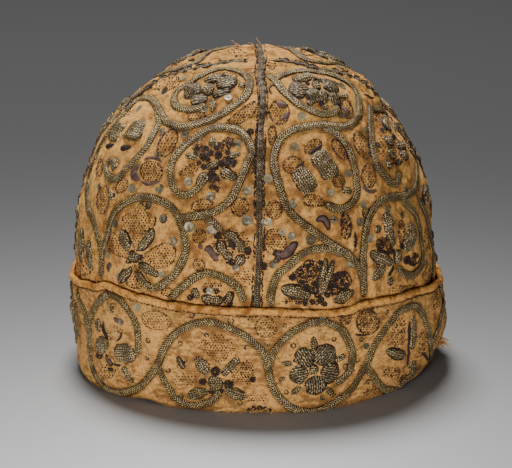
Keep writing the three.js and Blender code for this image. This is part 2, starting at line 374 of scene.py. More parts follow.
@dataclass(frozen=True)
class PhotoView:
    """The photograph's camera, which turns its pixels into places on a cloth."""

    nudge: float = 0.2
    rounds: int = 5
    facing: float = 0.03
    damping: float = 0.05
    stride: float = 3

    def pixels(self, points: np.ndarray) -> np.ndarray:
        """Pixels that points of the uncentred cap fall on.

        Args:
            points: Points in millimetres.

        Returns:
            Their pixels.
        """
        place = points - AIM
        scale = PIXELS_PER_MM * CAMERA_AWAY / (CAMERA_AWAY - place @ TOWARDS)
        return np.stack(
            [IMAGE_WIDE / 2 + scale * place[..., 0], IMAGE_TALL / 2 - scale * (place @ UPWARDS)], -1
        )

    def seen(self, direction: np.ndarray) -> float:
        """How long a unit direction looks in the photograph, from 0 to 1."""
        return float(np.hypot(direction[0], direction @ UPWARDS))

    def places(self, cloth: Cloth, pixels: np.ndarray) -> np.ndarray:
        """Places on the front of a cloth that fall on pixels.

        Args:
            cloth: The cloth.
            pixels: Pixels of the photograph.

        Returns:
            A bearing and a share of the way up for each.
        """
        bearing, up = np.meshgrid(np.arange(-96.0, 97.0, 2.0), np.linspace(0.0, 0.995, 90))
        bearing, up = bearing.ravel(), up.ravel()
        seen = cloth.read(cloth.normals, bearing, up) @ TOWARDS > self.facing
        bearing, up = bearing[seen], up[seen]
        shown = self.pixels(cloth.read(cloth.points, bearing, up))
        tree = tree_of(np.column_stack([shown, np.zeros(len(shown))]))
        nearest = [tree.find((x, y, 0))[1] for x, y in pixels]
        place = np.stack([bearing[nearest], up[nearest]], -1)
        step = np.array([1.0, 0.01])
        for _ in range(self.rounds):
            at = self.pixels(cloth.read(cloth.points, place[:, 0], place[:, 1]))
            slopes = []
            for axis in (0, 1):
                moved = place.copy()
                moved[:, axis] += self.nudge * step[axis]
                there = self.pixels(cloth.read(cloth.points, moved[:, 0], moved[:, 1]))
                slopes.append((there - at) / self.nudge)
            slope = np.stack(slopes, -1)
            across = np.transpose(slope, (0, 2, 1))
            square = across @ slope + self.damping * np.eye(2)
            change = np.linalg.solve(square, across @ (pixels - at)[..., None])[..., 0]
            place = place + np.clip(change, -self.stride, self.stride) * step
            place[:, 0] = np.clip(place[:, 0], -97, 97)
            place[:, 1] = np.clip(place[:, 1], 0, 0.997)
        return place


@dataclass
class Spine:
    """A line to build along: its points, outward directions, half widths and heights."""

    points: np.ndarray
    normals: np.ndarray
    half_width: np.ndarray
    height: np.ndarray

    @classmethod
    def even(cls, points: np.ndarray, normals: np.ndarray, half: float, height: float) -> "Spine":
        """A spine of one half width and one height."""
        count = len(points)
        return cls(points, normals, np.full(count, half), np.full(count, height))

    @property
    def along(self) -> np.ndarray:
        """Distance of each point from the first."""
        return distance_along(self.points)


def smooth_route(route: Route, step: float, closed: bool = False) -> np.ndarray:
    """Even places on a smooth curve through a route.

    Args:
        route: The route's places.
        step: Distance between two of the curve's.
        closed: Whether it comes back to its start.

    Returns:
        The curve's places.
    """
    place = np.array([*route, route[0]] if closed else route, float)
    along = distance_along(place)
    rows = np.column_stack([along, place])
    at = np.linspace(0, along[-1], max(3, int(along[-1] / step) + 1))
    return np.stack([smooth_through(rows, column, at) for column in (1, 2)], -1)


class Section(Enum):
    """Cross-section of a strip."""

    LAID = "laid"
    TWIN = "twin"
    ROUND = "round"


class Bundle:
    """Strips, stamps and patches gathered into one piece."""

    sides = {Section.LAID: 7, Section.TWIN: 8, Section.ROUND: 6}
    bed = 0.5
    groove = 0.7
    lowest = 0.05

    def __init__(self, name: str) -> None:
        """Starts an empty piece.

        Args:
            name: Its name.
        """
        self.name = name
        self.places: list[np.ndarray] = []
        self.faces: list[tuple[int, ...]] = []
        self.maps: list[np.ndarray] = []
        self.count = 0
        self.moulds: dict[tuple[int, Section], tuple] = {}

    def mould(self, stations: int, section: Section) -> tuple:
        """A closed strip's faces, with the station and side that each corner has.

        Args:
            stations: Stations along it.
            section: Its cross-section.

        Returns:
            The station and side of each vertex, the faces, and the same for each face corner.
        """
        key = (stations, section)
        if key in self.moulds:
            return self.moulds[key]
        sides = self.sides[section]
        bm = bmesh.new()
        bmesh.ops.create_grid(bm, x_segments=stations - 1, y_segments=sides, size=1.0)
        layer = bm.loops.layers.uv.new("strip")
        for face in bm.faces:
            for loop in face.loops:
                loop[layer].uv = loop.vert.co.xy
        for vert in bm.verts:
            angle = math.pi * vert.co.y
            vert.co = (vert.co.x, math.cos(angle), math.sin(angle))
        bmesh.ops.remove_doubles(bm, verts=bm.verts, dist=1e-5)
        ends = [edge for edge in bm.edges if edge.is_boundary]
        bmesh.ops.holes_fill(bm, edges=ends, sides=sides + 1)
        bm.verts.index_update()
        vert_keys = np.array([tuple(v.co) for v in bm.verts])
        station = np.round((vert_keys[:, 0] + 1) / 2 * (stations - 1)).astype(int)
        angle = np.arctan2(vert_keys[:, 2], vert_keys[:, 1])
        side = np.round((angle / math.pi + 1) / 2 * sides).astype(int) % sides
        faces = [tuple(v.index for v in face.verts) for face in bm.faces]
        corners = [
            (loop[layer].uv.x, loop[layer].uv.y) if len(face.verts) == 4 else (0.0, 0.0)
            for face in bm.faces
            for loop in face.loops
        ]
        bm.free()
        self.moulds[key] = (station, side, faces, np.array(corners))
        return self.moulds[key]

    def profile(self, section: Section) -> tuple[np.ndarray, np.ndarray]:
        """Across and outward shares of a cross-section's sides.

        Args:
            section: The cross-section.

        Returns:
            The shares across, and the shares outwards.
        """
        sides = self.sides[section]
        if section is Section.ROUND:
            angle = (np.arange(sides) / sides * 2 - 1) * math.pi
            return np.cos(angle), np.sin(angle)
        angle = np.linspace(0, math.pi, sides - 1)
        across = np.concatenate([np.cos(angle), [0.0]])
        out = np.concatenate([np.sin(angle), [-1.0]])
        if section is Section.TWIN:
            out[sides // 2 - 1] = self.groove
        return across, out

    def strip(self, spine: Spine, section: Section = Section.LAID, lift: float = 0.0) -> None:
        """Adds a closed strip along a spine.

        Args:
            spine: The line, its widths and heights.
            section: Its cross-section.
            lift: How far it stands off the spine.
        """
        stations = len(spine.points)
        station, side, faces, corners = self.mould(stations, section)
        onwards = np.gradient(spine.points, axis=0)
        across = unit(np.cross(spine.normals, onwards))
        aside, out = self.profile(section)
        wide = spine.half_width[station] * aside[side]
        if section is not Section.ROUND:
            dome = np.where(out[side] < 0, -self.bed, spine.height[station] * out[side])
            dome = np.where(np.abs(aside[side]) > 0.99, -self.bed * 0.6, dome)
        else:
            dome = spine.height[station] * out[side]
        points = (
            spine.points[station]
            + across[station] * wide[:, None]
            + spine.normals[station] * (dome + lift)[:, None]
        )
        along = spine.along
        at = (corners[:, 0] + 1) / 2 * (stations - 1)
        which = np.clip(np.round(at).astype(int), 0, stations - 1)
        turned = (corners[:, 1] + 1) / 2 * self.sides[section]
        shares = np.append(aside, aside[0])
        edge = shares[np.clip(np.round(turned).astype(int), 0, self.sides[section])]
        self.maps.append(np.stack([along[which], spine.half_width[which] * edge], -1))
        self.add(points, faces)

    def add(self, points: np.ndarray, faces: list[tuple[int, ...]]) -> None:
        """Adds points and the faces between them.

        Args:
            points: The points.
            faces: Their corners.
        """
        self.places.append(points)
        self.faces.extend(tuple(i + self.count for i in face) for face in faces)
        self.count += len(points)

    def stamp(self, template: bmesh.types.BMesh, at: np.ndarray, axes: np.ndarray) -> None:
        """Adds copies of a small shape.

        Args:
            template: The shape, in millimetres.
            at: Where each copy goes.
            axes: The three directions of each copy, as rows, scaled as the copy is.
        """
        template.verts.index_update()
        shape = np.array([tuple(v.co) for v in template.verts])
        faces = [tuple(v.index for v in face.verts) for face in template.faces]
        flat = np.array([(v.vert.co.x, v.vert.co.y) for f in template.faces for v in f.loops])
        for place, frame_axes in zip(at, axes):
            self.maps.append(flat)
            self.add(place + shape @ frame_axes, faces)

    def finish(self, slot: str, material: bpy.types.Material, smooth: bool = True) -> bpy.types.Object:
        """Makes the piece, dressed and riding on the cap.

        Args:
            slot: The record's material slot; not used.
            material: Its finish.
            smooth: Whether its faces are shaded smooth.

        Returns:
            The piece.
        """
        mesh = bpy.data.meshes.new(self.name)
        points = (np.concatenate(self.places) + CENTRING) * METRES
        points[:, 2] = np.maximum(points[:, 2], self.lowest * METRES)
        mesh.from_pydata(points.tolist(), [], self.faces)
        layer = mesh.uv_layers.new(name="cloth")
        layer.data.foreach_set("uv", np.concatenate(self.maps).astype(np.float32).ravel())
        bm = bmesh.new()
        bm.from_mesh(mesh)
        bmesh.ops.recalc_face_normals(bm, faces=bm.faces)
        bm.to_mesh(mesh)
        bm.free()
        mesh.polygons.foreach_set("use_smooth", [smooth] * len(mesh.polygons))
        return present(self.name, mesh, material)


def add_object(name: str, data: bpy.types.ID) -> bpy.types.Object:
    """Puts a mesh, lamp or camera in the scene.

    Args:
        name: The object's name.
        data: What it holds.

    Returns:
        The object.
    """
    made = bpy.data.objects.new(name, data)
    bpy.context.scene.collection.objects.link(made)
    return made


def present(
    name: str, mesh: bpy.types.Mesh, material: bpy.types.Material
) -> bpy.types.Object:
    """Puts a finished mesh in the scene as a piece of the cap.

    Args:
        name: The piece's name.
        mesh: Its mesh, in place.
        material: Its finish.

    Returns:
        The piece.
    """
    piece = add_object(name, mesh)
    mesh.materials.append(material)
    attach(piece, "root")
    log.info("%s: %d faces", name, len(mesh.polygons))
    return piece


Colour = tuple[float, float, float, float]


def shade(red: int, green: int, blue: int) -> Colour:
    """Linear colour of a screen colour.

    Args:
        red: Red, of 255.
        green: Green, of 255.
        blue: Blue, of 255.

    Returns:
        The colour, opaque.
    """
    linear = [
        part / 12.92 if part <= 0.04045 else ((part + 0.055) / 1.055) ** 2.4
        for part in (red / 255, green / 255, blue / 255)
    ]
    return (*linear, 1.0)


class Wire:
    """A socket of a finish, with arithmetic that adds Math nodes."""

    def __init__(self, paint: "Paint", socket: bpy.types.NodeSocket) -> None:
        """Wraps a socket."""
        self.paint = paint
        self.socket = socket

    def __add__(self, other: "Wire | float") -> "Wire":
        """Sum."""
        return self.paint.math("ADD", self, other)

    def __sub__(self, other: "Wire | float") -> "Wire":
        """Difference."""
        return self.paint.math("SUBTRACT", self, other)

    def __rsub__(self, other: float) -> "Wire":
        """Difference from a number."""
        return self.paint.math("SUBTRACT", other, self)

    def __mul__(self, other: "Wire | float") -> "Wire":
        """Product."""
        return self.paint.math("MULTIPLY", self, other)

    __radd__ = __add__
    __rmul__ = __mul__

    def size(self) -> "Wire":
        """Value without its sign."""
        return self.paint.math("ABSOLUTE", self)

    def wave(self, pitch: float) -> "Wire":
        """Sine from 0 to 1 that repeats at a pitch."""
        return self.paint.math("SINE", self * (2 * math.pi / pitch)) * 0.5 + 0.5

    def step(self, low: float, high: float) -> "Wire":
        """Smooth step from 0 at low to 1 at high.

        Args:
            low: Where it starts.
            high: Where it ends.

        Returns:
            The step.
        """
        node = self.paint.add(
            "ShaderNodeMapRange",
            {"interpolation_type": "SMOOTHSTEP"},
            {"Value": self, "From Min": low, "From Max": high},
        )
        return Wire(self.paint, node.outputs["Result"])


class Paint:
    """A finish in the making."""

    def __init__(self, name: str, sockets: dict[str, float]) -> None:
        """Starts a finish.

        Args:
            name: Its name.
            sockets: Numbers that are the same all over it.
        """
        self.material = bpy.data.materials.new(name)
        self.material.use_nodes = True
        self.tree = self.material.node_tree
        self.shader = self.tree.nodes["Principled BSDF"]
        for socket, value in sockets.items():
            self.shader.inputs[socket].default_value = value

    def add(
        self, kind: str, settings: dict | None = None, sockets: dict | None = None
    ) -> bpy.types.Node:
        """Adds a node.

        Args:
            kind: Its type.
            settings: Its settings, set first.
            sockets: Values or links of its sockets.

        Returns:
            The node.
        """
        node = self.tree.nodes.new(kind)
        for name, value in (settings or {}).items():
            setattr(node, name, value)
        for name, value in (sockets or {}).items():
            self.feed(node.inputs[name], value)
        return node

    def feed(self, socket: bpy.types.NodeSocket, value: Wire | float | Colour) -> None:
        """Sets a socket to a value, or links it.

        Args:
            socket: The socket.
            value: A value or an output.
        """
        if isinstance(value, Wire):
            self.tree.links.new(value.socket, socket)
        else:
            socket.default_value = value

    def math(self, operation: str, *values: Wire | float) -> Wire:
        """Result of a Math node."""
        node = self.add("ShaderNodeMath", {"operation": operation}, dict(enumerate(values)))
        return Wire(self, node.outputs[0])

    def blend(self, share: Wire | float, low: Wire | Colour, high: Wire | Colour) -> Wire:
        """Colour between two others."""
        node = self.add("ShaderNodeMix", {"data_type": "RGBA"}, {0: share, 6: low, 7: high})
        return Wire(self, node.outputs[2])

    def place(self) -> Wire:
        """Object coordinates."""
        return Wire(self, self.add("ShaderNodeTexCoord").outputs["Object"])

    def map(self) -> tuple[Wire, Wire]:
        """Millimetres along and across the piece, from its own map.

        Returns:
            Both, as outputs.
        """
        source = self.add("ShaderNodeUVMap", {"uv_map": "cloth"})
        parts = self.add("ShaderNodeSeparateXYZ", {}, {0: Wire(self, source.outputs["UV"])})
        return Wire(self, parts.outputs["X"]), Wire(self, parts.outputs["Y"])

    def marked(self, name: str) -> Wire:
        """A number kept on the mesh."""
        return Wire(self, self.add("ShaderNodeAttribute", {"attribute_name": name}).outputs["Fac"])

    def mottle(self, size_mm: float, detail: float = 2.0, squash: float = 1.0) -> Wire:
        """Noise with patches of a size, from 0 to 1.

        Args:
            size_mm: The patches' size.
            detail: How much finer noise lies on it.
            squash: How many times lower than wide the patches are.

        Returns:
            The noise.
        """
        place = self.place()
        if squash != 1.0:
            mapping = self.add("ShaderNodeMapping", {}, {"Vector": place, "Scale": (1, 1, squash)})
            place = Wire(self, mapping.outputs["Vector"])
        node = self.add(
            "ShaderNodeTexNoise",
            {},
            {"Vector": place, "Scale": 1 / (size_mm * METRES), "Detail": detail},
        )
        return Wire(self, node.outputs["Fac"])

    def done(self, colour: Wire, height: Wire, depth_mm: float) -> bpy.types.Material:
        """Finishes the material.

        Args:
            colour: Its colour.
            height: Its small relief, from 0 to 1.
            depth_mm: How deep that is.

        Returns:
            The material.
        """
        self.feed(self.shader.inputs["Base Color"], colour)
        bump = self.add("ShaderNodeBump", {}, {"Distance": depth_mm * METRES, "Height": height})
        self.feed(self.shader.inputs["Normal"], Wire(self, bump.outputs["Normal"]))
        return self.material


@dataclass(frozen=True)
class LinenFinish:
    """Old plain-woven linen, aged to ochre."""

    name: str
    lit: Colour
    deep: Colour
    stain_and_shade: Colour
    squash: float = 1.0
    thread_pitch: float = 0.62
    pucker: float = 1.5

    def material(self) -> bpy.types.Material:
        """Makes the finish.

        Returns:
            Its material.
        """
        paint = Paint(self.name, {"Roughness": 0.92, "Specular IOR Level": 0.15})
        along, across = paint.map()
        broad, patchy, fine = paint.mottle(48), paint.mottle(9, 3), paint.mottle(1.5)
        creases = paint.mottle(3.6, 4, self.squash)
        # Tone: random patches, and painted shade in the creases, as the crease noise that raises the bump
        # also lightens the colour.
        tone = (broad * 0.25 + patchy * 0.35 + creases * 0.4).step(0.4, 0.58)
        colour = paint.blend(tone, self.deep, self.lit)
        colour = paint.blend(paint.mottle(1.2, 2).step(0.5, 0.72) * 0.55, colour, self.deep)
        # Towards the stain colour where the mesh's mark is high: painted shade along the braids and under
        # the hem, and dirt.
        dirt_and_shade_mask = (paint.marked("dirt_and_shade") * (patchy + 0.35)).step(0.12, 0.8)
        colour = paint.blend(dirt_and_shade_mask, colour, self.stain_and_shade)
        specks = paint.mottle(2.0, 3).step(0.57, 0.7) * 0.5
        colour = paint.blend(specks, colour, self.stain_and_shade)
        weave = along.wave(self.thread_pitch) * across.wave(self.thread_pitch)
        return paint.done(colour, creases + fine * 0.35 + weave * 0.12, self.pucker)


@dataclass(frozen=True)
class PlaitFinish:
    """Plaited braid, its strands slanting to its middle."""

    name: str
    gap: Colour
    strand: Colour
    glint: Colour
    half_width: float
    pitch: float = 1.4
    row: float = 1.15
    slant: float = 0.9
    depth: float = 0.6

    def material(self) -> bpy.types.Material:
        """Makes the finish.

        Returns:
            Its material.
        """
        paint = Paint(self.name, {"Roughness": 0.48, "Metallic": 0.2})
        along, across = paint.map()
        aside = across.size()
        strands = (along + aside * self.slant + paint.mottle(2.0) * 0.9).wave(self.pitch)
        rows = (across + paint.mottle(2.4) * 1.2).wave(self.row)
        grain = strands * 0.5 + rows * 0.2 + (paint.mottle(0.85, 2) * 3 - 1) * 0.3
        worn = paint.mottle(7, 3)
        colour = paint.blend(grain.step(0.22, 0.72), self.gap, self.strand)
        # Glints: painted highlights on the strands, where the worn noise is high.
        glints = (grain + paint.mottle(0.8, 1) * 0.9).step(1.02, 1.3)
        colour = paint.blend(glints * worn.step(0.34, 0.58), colour, self.glint)
        # Painted shade along the braid's edges, where it dips into the cloth.
        edge = (aside * (1 / self.half_width)).step(0.7, 1.0)
        colour = paint.blend(edge * 0.75, colour, self.gap)
        return paint.done(colour, grain + worn * 0.3, self.depth)


@dataclass(frozen=True)
class PadFinish:
    """Thread laid over padding in narrow strips."""

    name: str
    gap: Colour
    strand: Colour
    glint: Colour
    strip: float = 1.3
    pitch: float = 1.35
    beads: float = 0.5
    depth: float = 0.6

    def material(self) -> bpy.types.Material:
        """Makes the finish.

        Returns:
            Its material.
        """
        paint = Paint(self.name, {"Roughness": 0.48, "Metallic": 0.2})
        along, across = paint.map()
        wander = across + paint.mottle(2.6, 3) * 2.2
        ribs = wander.wave(self.strip)
        stagger = wander.wave(self.strip * 2) * (self.pitch * 0.5)
        flecks = (along + stagger + paint.mottle(1.8) * 1.3).wave(self.pitch)
        grain = (ribs * (1 - self.beads) + flecks * self.beads) * 0.7
        grain = grain + (paint.mottle(0.85, 2) * 3 - 1) * 0.3
        worn = paint.mottle(6, 3)
        colour = paint.blend(grain.step(0.25, 0.72), self.gap, self.strand)
        # Glints: painted highlights on the strands, where the worn noise is high.
        glints = (grain + paint.mottle(0.8, 1) * 0.9).step(1.02, 1.28)
        colour = paint.blend(glints * worn.step(0.34, 0.58), colour, self.glint)
        return paint.done(colour, grain, self.depth)


@dataclass(frozen=True)
class SilkFinish:
    """Floss silk or loose thread."""

    name: str
    dark: Colour
    light: Colour
    roughness: float = 0.6
    pitch: float = 0.45
    depth: float = 0.15

    def material(self) -> bpy.types.Material:
        """Makes the finish.

        Returns:
            Its material.
        """
        paint = Paint(self.name, {"Roughness": self.roughness})
        along, across = paint.map()
        floss = (along + paint.mottle(2) * 0.8).wave(self.pitch) * 0.5
        floss = floss + across.wave(self.pitch * 3) * 0.3
        tone = (paint.mottle(2.2, 3) * 0.7 + floss * 0.3).step(0.25, 0.7)
        return paint.done(paint.blend(tone, self.dark, self.light), floss, self.depth)


@dataclass(frozen=True)
class SpangleFinish:
    """Small silver-gilt discs, dulled."""

    name: str
    bright: Colour
    dull: Colour

    def material(self) -> bpy.types.Material:
        """Makes the finish.

        Returns:
            Its material.
        """
        paint = Paint(self.name, {"Roughness": 0.45, "Metallic": 0.35})
        tarnish = paint.mottle(14, 1) * 0.6 + paint.mottle(2.5, 3) * 0.4
        colour = paint.blend(tarnish.step(0.4, 0.6), self.bright, self.dull)
        return paint.done(colour, paint.mottle(0.6), 0.08)


# Linen finishes: lit colour, deep colour, and the colour for stains, dirt and painted shade.
LINEN = LinenFinish("linen", shade(248, 185, 103), shade(160, 110, 58), shade(94, 55, 23))
CUFF_CLOTH = LinenFinish(
    "cuff_linen", shade(244, 182, 104), shade(152, 107, 59), shade(92, 56, 25), 2.2
)
HEM_CLOTH = LinenFinish(
    "hem_linen", shade(242, 176, 92), shade(160, 98, 44), shade(72, 38, 14), 1.0, 0.62, 1.3
)
PLAIT = PlaitFinish(
    "plaited_metal_thread", shade(38, 24, 10), shade(130, 103, 56), shade(240, 210, 146), 2.3
)
PADDING = PadFinish("padded_metal_thread", shade(32, 21, 10), shade(132, 106, 62), shade(240, 214, 156))
TARNISHED = PadFinish(
    "tarnished_metal_thread", shade(18, 11, 6), shade(108, 88, 54), shade(208, 182, 132), 1.35, 2.4, 0.3
)
SEAM = PlaitFinish(
    "seam_braid", shade(20, 11, 6), shade(104, 82, 54), shade(180, 156, 116), 2.05, 1.2, 1.4
)
DARK_SILK = SilkFinish("dark_silk", shade(14, 7, 5), shade(58, 30, 14))
BROWN_SILK = SilkFinish("brown_silk", shade(60, 42, 38), shade(118, 84, 70), 0.55)
LOOSE_LINEN = SilkFinish("loose_linen", shade(176, 120, 60), shade(236, 184, 112), 0.9)
SPANGLE = SpangleFinish("spangle", shade(164, 150, 118), shade(84, 74, 52))


class PadForm(Enum):
    """Outline of a padded shape along its spine."""

    LEAF = "leaf"
    BAR = "bar"
    FAN = "fan"
    DISC = "disc"

    def share(self, t: np.ndarray) -> np.ndarray:
        """Share of its full width at shares of its length.

        Args:
            t: Shares of the length.

        Returns:
            The share at each.
        """
        if self is PadForm.LEAF:
            return np.sin(np.pi * t) ** 0.55
        if self is PadForm.BAR:
            return np.clip(1 - (2 * t - 1) ** 8, 0, 1) ** 0.5
        if self is PadForm.FAN:
            return (0.25 + 0.75 * t) * np.clip(1 - t**6, 0, 1) ** 0.5
        return np.sqrt(np.clip(1 - (2 * t - 1) ** 2, 0, 1))


class Thread(Enum):
    """What a shape is worked in."""

    METAL = "metal"
    TARNISHED = "tarnished"
    BROWN = "brown"
    DARK = "dark"
    LINEN = "linen"


@dataclass(frozen=True)
class Pad:
    """A padded shape: the pixels of its spine, and its width in pixels."""

    route: Route
    width: float
    form: PadForm = PadForm.LEAF
    thread: Thread = Thread.METAL
    edged: bool = False


@dataclass(frozen=True)
class Speckle:
    """A field of seed stitches: its outline's pixels, and their pitch in pixels."""

    outline: Route
    pitch: float = 2.9
    rim: bool = True
    size: float = 1.0


def oval(x: float, y: float, wide: float, tall: float, tilt: float = 0.0) -> list[Pixel]:
    """Outline of an oval.

    Args:
        x: Its middle's pixel.
        y: Its middle's pixel.
        wide: Half its width.
        tall: Half its height.
        tilt: Its turn, in degrees.

    Returns:
        Its outline's pixels.
    """
    turn = math.radians(tilt)
    points = []
    for i in range(16):
        angle = math.tau * i / 16
        across, down = wide * math.cos(angle), tall * math.sin(angle)
        points.append(
            (
                x + across * math.cos(turn) - down * math.sin(turn),
                y + across * math.sin(turn) + down * math.cos(turn),
            )
        )
    return points


@dataclass(frozen=True)
class Layout:
    """Embroidery of one cloth, as the photograph shows it."""

    tendrils: Sequence[Route]
    pads: Sequence[Pad]
    speckles: Sequence[Speckle]
    spangles: Sequence[tuple[float, float, float]]
    knots: Sequence[Pixel] = ()
    blots: Sequence[tuple[float, float, float]] = ()
    side_tendrils: Sequence[Route] = ()
    side_pads: Sequence[Pad] = ()

    def fields(self) -> list[Speckle]:
        """Fields of stitches, also the dense black ones."""
        black = [Speckle(oval(x, y, r * 0.9, r * 0.9), 1.35, True, 1.15) for x, y, r in self.blots]
        return [*self.speckles, *black]


def leaf(x0: float, y0: float, x1: float, y1: float, width: float, edged: bool = False) -> Pad:
    """A straight padded leaf between two pixels."""
    middle = ((x0 + x1) / 2, (y0 + y1) / 2)
    return Pad(((x0, y0), middle, (x1, y1)), width, PadForm.LEAF, Thread.METAL, edged)


def spot(x: float, y: float, wide: float, tall: float, tilt: float = 0.0, *texture: float) -> Speckle:
    """An oval field of seed stitches on a pixel, with its pitch, rim and size."""
    return Speckle(oval(x, y, wide, tall, tilt), *texture)


def disc(x: float, y: float, radius: float, thread: Thread = Thread.METAL, edged: bool = False) -> Pad:
    """A padded disc on a pixel."""
    return Pad(((x - radius, y), (x, y), (x + radius, y)), 2 * radius, PadForm.DISC, thread, edged)


@dataclass(frozen=True)
class Kind:
    """A kind of padded shape."""

    form: PadForm
    thread: Thread
    edged: bool = False

    def __call__(self, width: float, *route: Pixel) -> Pad:
        """A shape of this kind, of a width in pixels, along the pixels of its spine."""
        return Pad(route, width, self.form, self.thread, self.edged)


blade = Kind(PadForm.LEAF, Thread.METAL)
petal = Kind(PadForm.LEAF, Thread.METAL, True)
strap = Kind(PadForm.BAR, Thread.METAL)
edged_strap = Kind(PadForm.BAR, Thread.METAL, True)
dull = Kind(PadForm.LEAF, Thread.TARNISHED)
dull_petal = Kind(PadForm.LEAF, Thread.TARNISHED, True)
dull_disc = Kind(PadForm.DISC, Thread.TARNISHED, True)
silk = Kind(PadForm.LEAF, Thread.BROWN)
silk_petal = Kind(PadForm.LEAF, Thread.BROWN, True)
dark = Kind(PadForm.LEAF, Thread.DARK)
dark_bar = Kind(PadForm.BAR, Thread.DARK)
worn = Kind(PadForm.LEAF, Thread.LINEN)

